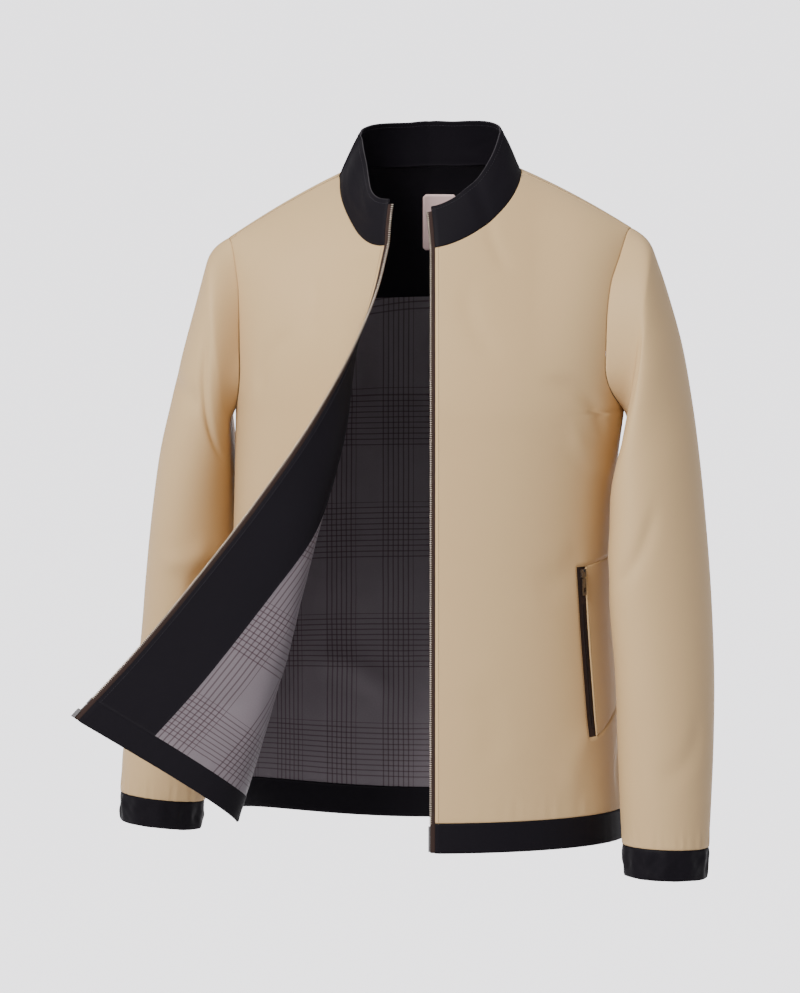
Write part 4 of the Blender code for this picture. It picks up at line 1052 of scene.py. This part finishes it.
SLEEVE_RIGHT = [
    Arm(1, 0.2300, -0.095, 0.2040, -0.266, 0.010, 0.064, -16),
    Arm(2, 0.2420, -0.138, 0.2010, -0.288, 0.014, 0.067, -24),
    Arm(3, 0.2540, -0.182, 0.1985, -0.310, 0.019, 0.068, -26),
    Arm(4, 0.2665, -0.235, 0.1970, -0.333, 0.025, 0.066, -26),
    Arm(5, 0.2785, -0.290, 0.1965, -0.362, 0.032, 0.063, -24),
    Arm(6, 0.2877, -0.360, 0.1975, -0.400, 0.040, 0.060, -20),
    Arm(7, 0.2940, -0.422, 0.2010, -0.442, 0.048, 0.057, -14),
    Arm(8, 0.3000, -0.490, 0.2075, -0.498, 0.057, 0.053, -8),
    Arm(9, 0.3085, -0.550, 0.2165, -0.556, 0.068, 0.049, -4),
    Arm(10, 0.3190, -0.605, 0.2290, -0.613, 0.080, 0.045, 0),
    Arm(11, 0.3224, -0.6550, 0.2345, -0.6640, 0.092, 0.041, 0),
]
# folds: start and end as degrees round the arm and station, width and depth in metres
Fold = namedtuple("Fold", "round0 station0 round1 station1 wide deep")
FOLDS_LEFT = [
    Fold(80, 1.2, 150, 3.2, 0.012, -0.0035),
    Fold(60, 5.4, 130, 6.6, 0.010, -0.0026),
    Fold(150, 6.0, 210, 7.0, 0.011, -0.0032),
    Fold(290, 1.4, 220, 3.2, 0.012, -0.0035),
    Fold(300, 5.5, 235, 6.6, 0.011, -0.0029),
    Fold(30, 8.6, 90, 9.6, 0.011, -0.0016),
]
FOLDS_RIGHT = [
    Fold(70, 1.3, 140, 3.0, 0.012, -0.0038),
    Fold(20, 3.6, 90, 2.6, 0.011, -0.0026),
    Fold(160, 6.2, 100, 7.2, 0.010, -0.0045),
    Fold(130, 5.8, 60, 6.6, 0.011, 0.0022),
    Fold(290, 1.4, 220, 3.2, 0.012, -0.0035),
    Fold(310, 5.8, 240, 6.9, 0.011, -0.0029),
]
ARM_ROUND = 104               # columns round the arm
STATION = 0.055               # cloth from one station of the arm to the next
SLEEVE_GATHERS = (0.0125, 0.032, 0.0012)
SLOPE_STEP = 0.02
ARMS = {1: (SLEEVE_LEFT, FOLDS_LEFT), -1: (SLEEVE_RIGHT, FOLDS_RIGHT)}
SLEEVE_SHEETS = {1: ((0.50, 0.65), 0.208), -1: ((0.48, 0.61), 0.187)}


def arm_point(side, arm, station, around):
    """Points of a sleeve: around is 0 on the outside of the arm, 90 in front, 180 inside."""
    at = {name: read(station) for name, read in arm.items()}
    turn = np.radians(around)
    lean = np.radians(around + at["turn"])
    half_x = (at["outer_x"] - at["inner_x"]) / 2
    half_z = (at["outer_z"] - at["inner_z"]) / 2
    return np.stack((side * (at["inner_x"] + half_x + half_x * np.cos(lean)),
                     at["middle_y"] - at["half_depth"] * np.sin(turn),
                     at["inner_z"] + half_z + half_z * np.cos(turn)), axis=-1)


def tube_out(points):
    """Outward directions of a tube's grid."""
    across = np.roll(points, -1, axis=1) - np.roll(points, 1, axis=1)
    out = unit(np.cross(across, np.gradient(points, axis=0)))
    away = points - points.mean(axis=1, keepdims=True)
    return out if (out * away).sum() > 0 else -out


def evenly(line, count):
    """A line of points (or of points and directions) again at even steps, both ends kept."""
    along = run_along(line[:, :3])
    at = np.linspace(0, along[-1], count)
    return np.stack([np.interp(at, along, line[:, k]) for k in range(line.shape[1])], axis=1)


ARM_RINGS = np.concatenate((np.linspace(0, 1, 13)[:-1],
                            np.linspace(1, SLEEVE_LEFT[-1].station, 101)))
arms = {}
for side, word in SIDES:
    table, folds = ARMS[side]
    arm = arms[side] = {name: through(table, name) for name in Arm._fields[1:]}
    front_side = np.concatenate(fronts[side][:2], axis=2)[len(UP_LOW):, -1]
    back_side = np.concatenate(back_cloth[:2], axis=2)[len(BACK_LOW):, -1 if side > 0 else 0]
    loop = np.vstack((evenly(front_side[::-1], ARM_ROUND // 2 + 1),
                      evenly(back_side, ARM_ROUND // 2 + 1)[1:-1]))
    seam, seam_out = loop[:, :3], loop[:, 3:]
    around = np.arange(ARM_ROUND) / ARM_ROUND * 360
    first = arm_point(side, arm, 1, around)
    slope = (arm_point(side, arm, 1 + SLOPE_STEP, around) - first) / SLOPE_STEP
    start = 1.5 * (first - seam) - 0.5 * slope
    points = np.array([between(seam, start, first, slope, s) if s < 1
                       else arm_point(side, arm, s, around) for s in ARM_RINGS])
    out = tube_out(points)
    share = (1 + np.cos(np.radians(around)))[:, None] / 2
    out[0] = unit(share * seam_out + (1 - share) * out[0])
    girth = np.linalg.norm(np.roll(points, -1, axis=1) - points, axis=2).sum(axis=1).mean()
    across, height = np.meshgrid(around / 360 * girth, (1 - ARM_RINGS) * STATION)
    lift = puckers(across, height, (1 - ARM_RINGS[-1]) * STATION, *SLEEVE_GATHERS)
    for f in folds:
        ends = [(f.round0 / 360 * girth, (1 - f.station0) * STATION),
                (f.round1 / 360 * girth, (1 - f.station1) * STATION)]
        fold = Crease(*ends[0], *ends[1], f.wide, f.deep)
        for turn in (-girth, 0, girth):
            lift += creased([fold], across + turn, height)
    lift[0] = 0
    grid = points + out * lift[..., None], out, np.stack((across, height), axis=-1)
    sleeve = sewn_piece("sleeve_cloth_" + word, trim(grid, "bt", SEAM_GAP), 0, SHELL, sand_cloth,
                        tube=True)
    sewn_on(sleeve, "cloth", ["sleeve_" + word], *SLEEVE_SHEETS[side])

# ---------------------------------------------------------------- cuffs
# Elastic cuffs of the black cloth, two layers folded at the wrist and gathered all round.
CUFF = 0.0026
CUFF_HEIGHT = 0.031
CUFF_TAPER = 0.03
CUFF_GATHERS = 13
CUFF_GATHER_DEPTH = 0.0008
CUFF_SLANT = 0.0011           # depth of the slanting wrinkles
CUFF_SEAM_DIP = 0.0005        # the cuff draws in at its seam and at its folded foot
CUFF_FOOT_DIP = 0.0006
CUFF_ROWS = np.linspace(0, 1, 15)
CUFF_ROUND = 0.22             # cloth round the wrist
around = np.linspace(0, 360, 209)[:-1]
turn = np.radians(around)
wave = np.cos(CUFF_GATHERS * turn + 1.3 * np.sin(3 * turn))
crimp = 0.12 * np.sin(31 * turn + 2.1 * np.sin(4 * turn))
for side, word in SIDES:
    arm = arms[side]
    last = ARMS[side][0][-1].station
    middles = [(arm_point(side, arm, s, 0) + arm_point(side, arm, s, 180)) / 2
               for s in (last - 0.4, last)]
    down = unit(middles[1] - middles[0])
    ring = arm_point(side, arm, last, around) - middles[1]
    reach = np.linalg.norm(ring, axis=1)
    rows = []
    for h in CUFF_ROWS:
        belly = math.sin(math.pi * h)
        slant = np.sin(4 * turn + 3.2 * h + side) ** 3 + 0.6 * np.sin(7 * turn - 4.5 * h) ** 3
        swell = CUFF_GATHER_DEPTH * (wave * (0.35 + 0.65 * belly) + crimp * (0.9 - 0.7 * h))
        swell = swell + CUFF_SLANT * slant * belly - CUFF_SEAM_DIP * max(0, 1 - h * 9)
        swell = swell - CUFF_FOOT_DIP * max(0, 1 - (1 - h) * 12)
        scale = 1 - CUFF_TAPER * h + swell / reach
        rows.append(middles[1] + ring * scale[:, None] + down * (SEAM_GAP + h * CUFF_HEIGHT))
    points = np.array(rows)
    flat = np.stack(np.meshgrid(around / 360 * CUFF_ROUND, -CUFF_ROWS * CUFF_HEIGHT), axis=-1)
    cuff = sewn_piece("gathered_cuff_" + word, (points, tube_out(points), flat), 0, CUFF,
                      black_cloth, tube=True, bulge=0.45)
    sewn_on(cuff, "black_cloth", ["cuff_" + word], flat=(0.25, 0.031), held="gathered")

# ---------------------------------------------------------------- hem band
# A band of the black cloth, folded double, sewn to the foot of each front and the back.
BAND = 0.0028
BAND_GAP = 0.0004             # open distance between a front's band and its cloth
BAND_ROWS = np.concatenate((np.linspace(0, 0.2, 4), np.linspace(0.3, 1, 7)))


def below(row, u, width, share):
    """Places of the band: share 0 at the hem and 1 at the seam, in step with the cloth."""
    low = row - BAND_HEIGHT * (1 - share)
    return low, u * width(low) / width(row)


for side, word in SIDES:
    row, u = (part[0] for part in front_sheet[side])
    grid = front_grid(side, *stacked([below(row, u, partial(width_of, side, True), share)
                                      for share in BAND_ROWS]))
    band = sewn_piece("hem_band_" + word, trim(trim(grid, "t", BAND_GAP), "r"), 0, BAND,
                      black_cloth, bulge=0.45)
    sewn_on(band, "black_cloth", ["band_" + word], flat=(0.30, 0.030))
row, v = back_rows[0], back_across[0]
grid = back_grid(*stacked([below(row, v, partial(back_width, v), share) for share in BAND_ROWS]))
band = sewn_piece("hem_band_back", trim(grid, "tlr"), 0, BAND, black_cloth, bulge=0.45)
sewn_on(band, "black_cloth", ["band_back"], flat=(0.53, 0.030))

# ---------------------------------------------------------------- stand collar
# Two layers of the black cloth, seamed at the top edge, standing on the neck seam. Its ends
# carry the top of the zip.
COLLAR_HEIGHT = 0.0465
COLLAR_LEAN_BACK = 17.0
COLLAR_LEAN_FRONT = 31.0
COLLAR_LEAN_END = 9.0
COLLAR_ROUND = 0.0012
COLLAR_TURN = 0.70
END_REACH = 0.40
LEAN_SPREAD = 0.012           # the collar's turning is evened over this much of the seam
UP = np.array((0, 0, 1.0))
COLLAR_CREASES = [
    Crease(0.03, 0.0, 0.05, 0.8, 0.012, -0.0006),
    Crease(0.12, 0.2, 0.10, 0.9, 0.014, 0.0007),
    Crease(0.33, 0.1, 0.35, 0.9, 0.013, -0.0007),
    Crease(0.40, 0.0, 0.41, 0.7, 0.012, 0.0006),
]
half = np.linspace(0, NECK_CELLS, 29)
neck_parts = {}
for side in (1, -1):
    rows, us = front_top(side, half)
    neck_parts[side] = front_grid(side, rows, us)[:2]
    top_row, top_share = back_top(side, half)
    v = side * top_share * width_of(side, False, top_row)
    neck_parts[side * 2] = back_grid(top_row, v)[:2]
neck, neck_out = (np.vstack((neck_parts[-1][k], neck_parts[-2][k][::-1][1:], neck_parts[2][k][1:],
                             neck_parts[1][k][::-1][1:])) for k in (0, 1))
along = run_along(neck)
inward = unit(np.gradient(neck, axis=0)[:, [1, 0, 2]] * (1, -1, 0))
spread = np.exp(-((along[:, None] - along[None, :]) / LEAN_SPREAD) ** 2)
inward = unit(spread @ inward)
centre = len(neck) // 2
reach = np.where(along < along[centre], along[centre], along[-1] - along[centre])
lean = smooth(np.abs(along - along[centre]) / reach / COLLAR_TURN)
lean = COLLAR_LEAN_BACK + (COLLAR_LEAN_FRONT - COLLAR_LEAN_BACK) * lean
lean += (COLLAR_LEAN_END - COLLAR_LEAN_FRONT) * smooth(1 - along / along[centre] / END_REACH)
lean = np.radians(lean)[:, None]
rise = inward * np.sin(lean) + UP * np.cos(lean)
collar_out = UP * np.sin(lean) - inward * np.cos(lean)


def collar_row(h):
    """Points of the collar's outer side at a share h of its height."""
    soft = creased(COLLAR_CREASES, along, np.full(along.shape, h))
    swell = COLLAR_ROUND * 4 * h * (1 - h) + soft * math.sin(math.pi * min(h, 1))
    return neck + rise * (SEAM_GAP + COLLAR_HEIGHT * h) + collar_out * np.reshape(swell, (-1, 1))


heights = np.concatenate(((0, 0.012, 0.035), np.linspace(0.09, 0.92, 13), (0.965, 0.99, 1)))
points = np.array([collar_row(h) for h in heights])
out = unit(np.array([neck_out * (1 - smooth(h * 5)) + collar_out * smooth(h * 5)
                     for h in heights]))
points[0] -= out[0] * EDGE_ROLL
points[1] -= out[1] * EDGE_ROLL * 0.3
flat = np.stack(np.meshgrid(along, heights * COLLAR_HEIGHT), axis=-1)
for word, node, depth in (("outside", "collar_outer", 0), ("inside", "collar_inner", LAYER)):
    collar = sewn_piece("collar_" + word, (points, out, flat), depth, SHELL, black_cloth, bulge=0.5)
    sewn_on(collar, "black_cloth", [node], flat=(0.46, 0.047))

# a fine cord fills the seam between the two layers, along the top edge and down both ends;
# its grey, lighter than the black cloth, is a painted highlight along the collar's edges
CORD = 0.00055
CORD_ROUND = 8
CORD_RINGS = 420
CORD_STEP = 0.0012            # from one ring to the next
CORD_RISE = 0.0003            # over the seam at the top edge


def lofted(rings, count):
    """Faces of a closed shape through rings of points, the two ends first."""
    last = (rings - 1) * count
    return ([tuple(range(count))[::-1], tuple(range(last, last + count))]
            + [(r + n, r + (n + 1) % count, r + count + (n + 1) % count, r + count + n)
               for r in range(0, last, count) for n in range(count)])


# the cord's lighter grey is a painted highlight of the collar's edge, not the cloth's own colour
edge_highlight_black = woven("collar_edge_cord", (0.055, 0.050, 0.056), (0.035, 0.032, 0.037),
                   thread=0.0004, rough=0.55, sheen=0.0, bump=0.4)
middle = (LAYER + SHELL) / 2
ends = [np.array([collar_row(h)[k] - collar_out[k] * middle for h in heights[3:]]) for k in (0, -1)]
top = points[-1] - collar_out * middle + rise * CORD_RISE
run = evenly(np.vstack((ends[0], top[1:-1], ends[1][::-1])), CORD_RINGS)
ways = unit(np.gradient(run, axis=0))
side_way = np.cross(ways, UP)
side_way /= np.maximum(np.linalg.norm(side_way, axis=1, keepdims=True), 1e-6)
turn = np.linspace(0, 2 * math.pi, CORD_ROUND + 1)[:-1, None]
loops = run[:, None] + CORD * (side_way[:, None] * np.cos(turn)
                               + np.cross(ways, side_way)[:, None] * np.sin(turn))
flat = np.stack(np.meshgrid(np.arange(CORD_ROUND) / CORD_ROUND * CORD * 6,
                            np.arange(CORD_RINGS) * CORD_STEP), axis=-1)
collar_edge = placed("collar_edge", solid("collar_edge", loops.reshape(-1, 3).tolist(),
                                          lofted(CORD_RINGS, CORD_ROUND), edge_highlight_black,
                                          flat.reshape(-1, 2)))
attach(collar_edge, "garment")

# ---------------------------------------------------------------- front zip
# An open-ended zip up both front edges and the collar's ends: woven tape with one row of
# metal teeth on each side, a pin on the left and a box on the right.
TAPE_EDGE = 0.0002
TAPE_OUT = 0.0004
TAPE_IN = 0.0021
ZIP_TOP = 0.88
TOOTH_PITCH = 0.0022
TOOTH_ACROSS = 0.0026
TOOTH_THICK = 0.0021
TOOTH_UNEVEN = 0.04
ZIP_FOOT = 0.029              # the lowest tooth, above the hem
TAPE_LINES = np.linspace(TAPE_EDGE, FRONT_EDGE - SEAM_GAP, 4)
TAPE_WIDE = 0.0045
COLLAR_STEPS = 9
zip_tape = woven("zip_tape", (0.040, 0.024, 0.020), (0.022, 0.013, 0.011),
                 thread=0.0009, rough=0.75, sheen=0.05, bump=0.5)


def metal(name, colour, rough, grain):
    """Plated metal with fine marks in its shine and darker spots of wear."""
    plated = Surface(name)
    marks = plated.noise(plated.place(), grain, 3.0)
    return plated.finish({
        "Base Color": plated.mix(marks, [0.7 * c for c in colour], [min(1.2 * c, 1) for c in colour]),
        "Roughness": plated.node("ShaderNodeMapRange", marks, 0.3, 0.7, rough - 0.06, rough + 0.1),
        "Normal": plated.bump(marks, 0.15, 0.00005), "Metallic": 1.0})


tooth_metal = metal("tooth_nickel", (0.66, 0.57, 0.47), rough=0.28, grain=1500)
gunmetal = metal("gunmetal", (0.26, 0.25, 0.25), rough=0.30, grain=900)


def laid_tree(name):
    """Geometry nodes that set one small piece at every point, turned by the point's own ways."""
    tree = bpy.data.node_groups.new(name, "GeometryNodeTree")
    for label, kind in (("Seam", "Geometry"), ("Piece", "Object"), ("Size", "Float"),
                        ("Unevenness", "Float"), ("Seed", "Int"), ("Finish", "Material")):
        tree.interface.new_socket(label, in_out="INPUT", socket_type="NodeSocket" + kind)
    tree.interface.new_socket("Laid", in_out="OUTPUT", socket_type="NodeSocketGeometry")
    given = tree.nodes.new("NodeGroupInput").outputs
    shape = add_node(tree, "GeometryNodeObjectInfo", output="Geometry", at={"Object": given["Piece"]})
    turn = None
    for attribute, axis, pivot in (("out", "Z", "AUTO"), ("way", "X", "Z")):
        way = add_node(tree, "GeometryNodeInputNamedAttribute", output="Attribute",
                       data_type="FLOAT_VECTOR", at={"Name": attribute})
        turn = add_node(tree, "FunctionNodeAlignRotationToVector", axis=axis, pivot_axis=pivot,
                        at={"Rotation": turn, "Vector": way})
    least = add_node(tree, "ShaderNodeMath", given["Size"], given["Unevenness"],
                     operation="SUBTRACT")
    size = add_node(tree, "FunctionNodeRandomValue", output=1,
                    at={"Seed": given["Seed"], 2: least, 3: given["Size"]})
    laid_out = add_node(tree, "GeometryNodeInstanceOnPoints", at={
        "Points": given["Seam"], "Instance": shape, "Rotation": turn, "Scale": size})
    real = add_node(tree, "GeometryNodeRealizeInstances", laid_out)
    finish = add_node(tree, "GeometryNodeSetMaterial", at={"Geometry": real,
                                                            "Material": given["Finish"]})
    tree.links.new(finish, tree.nodes.new("NodeGroupOutput").inputs[0])
    return tree


laid = laid_tree("set_along_seam")


def set_along(name, line, outs, pitch, shape, uneven, material, seed=1, lift=0.0):
    """Sets a small shape at even steps along a line, such as teeth or stitches."""
    both = evenly(np.hstack((line, outs)), max(2, int(round(length_of(line) / pitch)) + 1))
    points, ups = both[:, :3], unit(both[:, 3:])
    ways = np.gradient(points, axis=0)
    ways = unit(ways - ups * (ways * ups).sum(axis=1, keepdims=True))
    mesh = bpy.data.meshes.new(name + "_points")
    mesh.from_pydata((points + ups * lift).tolist(), [], [])
    for attribute, vectors in (("out", ups), ("way", ways)):
        mesh.attributes.new(attribute, "FLOAT_VECTOR", "POINT").data.foreach_set(
            "vector", vectors.astype(np.float32).ravel())
    seam = placed(name + "_points", mesh)
    setting = seam.modifiers.new("laid", "NODES")
    setting.node_group = laid
    values = {"Piece": shape, "Size": 1.0, "Unevenness": uneven, "Seed": seed, "Finish": material}
    for item in laid.interface.items_tree:
        if item.in_out == "INPUT" and item.name in values:
            setting[item.identifier] = values[item.name]
    graph = bpy.context.evaluated_depsgraph_get()
    made = bpy.data.meshes.new_from_object(seam.evaluated_get(graph))
    seam.modifiers.remove(setting)
    bpy.data.objects.remove(seam)
    made.name = name
    made.shade_smooth()
    piece = placed(name, made)
    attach(piece, "garment")


def small_shape(name, rings):
    """A closed shape through rings of points, kept out of the picture."""
    corners = [corner for ring in rings for corner in ring]
    return bpy.data.objects.new(name, solid(name, corners, lofted(len(rings), len(rings[0]))))


# a tooth, clamped over the tape's edge: wide at the tape and narrow at its head
tooth = small_shape("tooth", [[(x, y, z) for x, z in ((-t, -h), (t, -h), (t, h), (-t, h))]
                              for y, t, h in ((-0.5 * TOOTH_ACROSS, 0.0004, 0.00095),
                                              (0.0, 0.0005, TOOTH_THICK / 2),
                                              (0.5 * TOOTH_ACROSS, 0.00038, 0.00085))])

for side, word in SIDES:
    rows, us = front_sheet[side]
    hem_rows = rows[0, 0] - BAND_HEIGHT * (1 - BAND_ROWS[:-1])
    line_rows = np.concatenate((hem_rows, rows[:, 0]))
    grids = [front_grid(side, line_rows, np.full(line_rows.shape, u)) for u in TAPE_LINES]
    points, out = (np.stack([grid[k] for grid in grids], axis=1) for k in (0, 1))
    end, near = (-1, -2) if side > 0 else (0, 1)
    way = unit(neck[end] - neck[near])
    high = np.array([[collar_row(h)[end] + way * (FRONT_EDGE - u) for u in TAPE_LINES]
                     for h in np.linspace(0.1, ZIP_TOP, COLLAR_STEPS)])
    points = np.vstack((points, high))
    out = np.vstack((out, np.tile(collar_out[end], (COLLAR_STEPS, len(TAPE_LINES), 1))))
    ups = run_along(points[:, 0])
    flat = np.stack(np.meshgrid(np.linspace(0, TAPE_WIDE, len(TAPE_LINES)), ups), axis=-1)
    tape = sewn_piece("front_zip_tape_" + word, (points, out, flat), TAPE_OUT, TAPE_IN - TAPE_OUT,
                      zip_tape)
    sewn_on(tape, "zip_tape", ["zip_tape_" + word])
    start = nearest(ups, ZIP_FOOT)
    chain = points[start:, 0] - out[start:, 0] * (TAPE_OUT + TAPE_IN) / 2
    set_along("zip_teeth_" + word, chain, out[start:, 0], TOOTH_PITCH, tooth, TOOTH_UNEVEN,
              tooth_metal, seed=3)
bpy.data.objects.remove(tooth)

# ---------------------------------------------------------------- pocket zips
# A coil zip set in each pocket opening: a strip of dark tape with a row of coil loops up
# its middle.
COIL_PITCH = 0.0011
COIL_DEPTH = 0.0008
POCKET_TAPE_DEPTH = 0.0009
coil = small_shape("coil_loop", [[(x, y, z) for x, z in ((-0.00036, -0.0003), (0.00036, -0.0003),
                                                         (0.00030, 0.0004), (-0.00030, 0.0004))]
                                 for y in (-0.0019, -0.0006, 0.0006, 0.0019)])
coil_cord = woven("coil_cord", (0.030, 0.022, 0.022), (0.018, 0.013, 0.013),
                  thread=0.0009, rough=0.45, sheen=0.0, bump=0.3)
for side, word in SIDES:
    strip = cut(fronts[side], slice(POCKET_FROM, POCKET_TO + 1), slice(POCKET_AT[0], POCKET_AT[1] + 1))
    tape = sewn_piece("pocket_zip_tape_" + word, trim(strip, "btlr", roll=0.0),
                      POCKET_TAPE_DEPTH, SHELL, zip_tape)
    sewn_on(tape, "zip_tape", ["pocket_zip_" + word])
    points, out = strip[0][2:-8, 1], strip[1][2:-8, 1]
    set_along("pocket_coil_" + word, points, out, COIL_PITCH, coil, 0.0, coil_cord,
              lift=-COIL_DEPTH)
bpy.data.objects.remove(coil)

# ---------------------------------------------------------------- topstitching
# Lockstitch in thread of the cloth's own tone, down the front edges and both sides of the
# pocket openings, and in black along the facings and under the collar's top edge. The sand
# thread is coloured darker than the cloth, as painted shade of its stitch holes.
STITCH = 0.0024
STITCH_PITCH = 0.0031
STITCH_LIFT = 0.0001
STITCH_UNEVEN = 0.12
EDGE_ROW = 0.0030             # from the front edge, outside and on the facing
FACING_ROW = 0.0035
COLLAR_ROW = 0.915            # share of the collar's height
# the sand thread's darker colour is painted shade of the stitch holes
sand_thread_painted_shade = woven("sand_thread_painted_shade", (0.24, 0.160, 0.085), (0.19, 0.125, 0.065),
                    thread=0.0003, rough=0.6, sheen=0.1, bump=0.4)
black_thread = woven("black_thread", (0.030, 0.027, 0.034), (0.020, 0.018, 0.024),
                     thread=0.0003, rough=0.6, sheen=0.1, bump=0.4)
stitch = small_shape("stitch", [[(x, r * math.cos(a), 0.00004 + r * 0.8 * math.sin(a) - sink)
                                 for a in np.radians(range(0, 360, 60))]
                                for x, r, sink in ((-0.5 * STITCH, 0.00010, 0.0002),
                                                   (-0.38 * STITCH, 0.00023, 0.00003),
                                                   (0.38 * STITCH, 0.00023, 0.00003),
                                                   (0.5 * STITCH, 0.00010, 0.0002))])


def stitched(name, points, outs, thread):
    set_along(name, points, outs, STITCH_PITCH, stitch, STITCH_UNEVEN, thread, 5, STITCH_LIFT)


for side, word in SIDES:
    rows, _ = front_sheet[side]
    line = front_grid(side, rows[:, 0], np.full(len(rows), FRONT_EDGE + EDGE_ROW))
    stitched("edge_stitches_" + word, line[0], line[1], sand_thread_painted_shade)
    low, high, column = POCKET_FROM, POCKET_TO, POCKET_AT[0]
    points, out = fronts[side][0], fronts[side][1]
    left_side = points[low:high + 1, column] * 0.4 + points[low:high + 1, column - 1] * 0.6
    right_side = points[low:high + 1, column + 2] * 0.62 + points[low:high + 1, column + 3] * 0.38
    for part, run in (("front", left_side), ("back", right_side)):
        stitched("pocket_stitches_%s_%s" % (part, word), run, out[low:high + 1, column],
                 sand_thread_painted_shade)
    # the facing is stitched back beside the zip, seen on its inner side
    line = front_grid(side, rows[:, 0], np.full(len(rows), FRONT_EDGE + FACING_ROW))
    stitched("facing_stitches_" + word, line[0] - line[1] * (LAYER + LINING), -line[1], black_thread)

line = collar_row(COLLAR_ROW)
stitched("collar_stitches_outer", line, collar_out, black_thread)
stitched("collar_stitches_inner", line - collar_out * (LAYER + SHELL), -collar_out, black_thread)
bpy.data.objects.remove(stitch)

# ---------------------------------------------------------------- sliders, pulls, pin and box
# The small metal pieces keep their shape from the frame, with softened edges and a plated
# gunmetal finish.
SOFT_EDGE = 0.00018
for name in ("zip_box", "zip_pin", "zip_slider", "pocket_slider_left", "pocket_slider_right",
             "pull_front", "pull_left", "pull_right"):
    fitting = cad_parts[name]
    for finish in fitting.material_slots:
        finish.material = gunmetal
    softened = fitting.modifiers.new("softened", "BEVEL")
    softened.width = SOFT_EDGE
    softened.segments = 2
    softened.limit_method = "ANGLE"
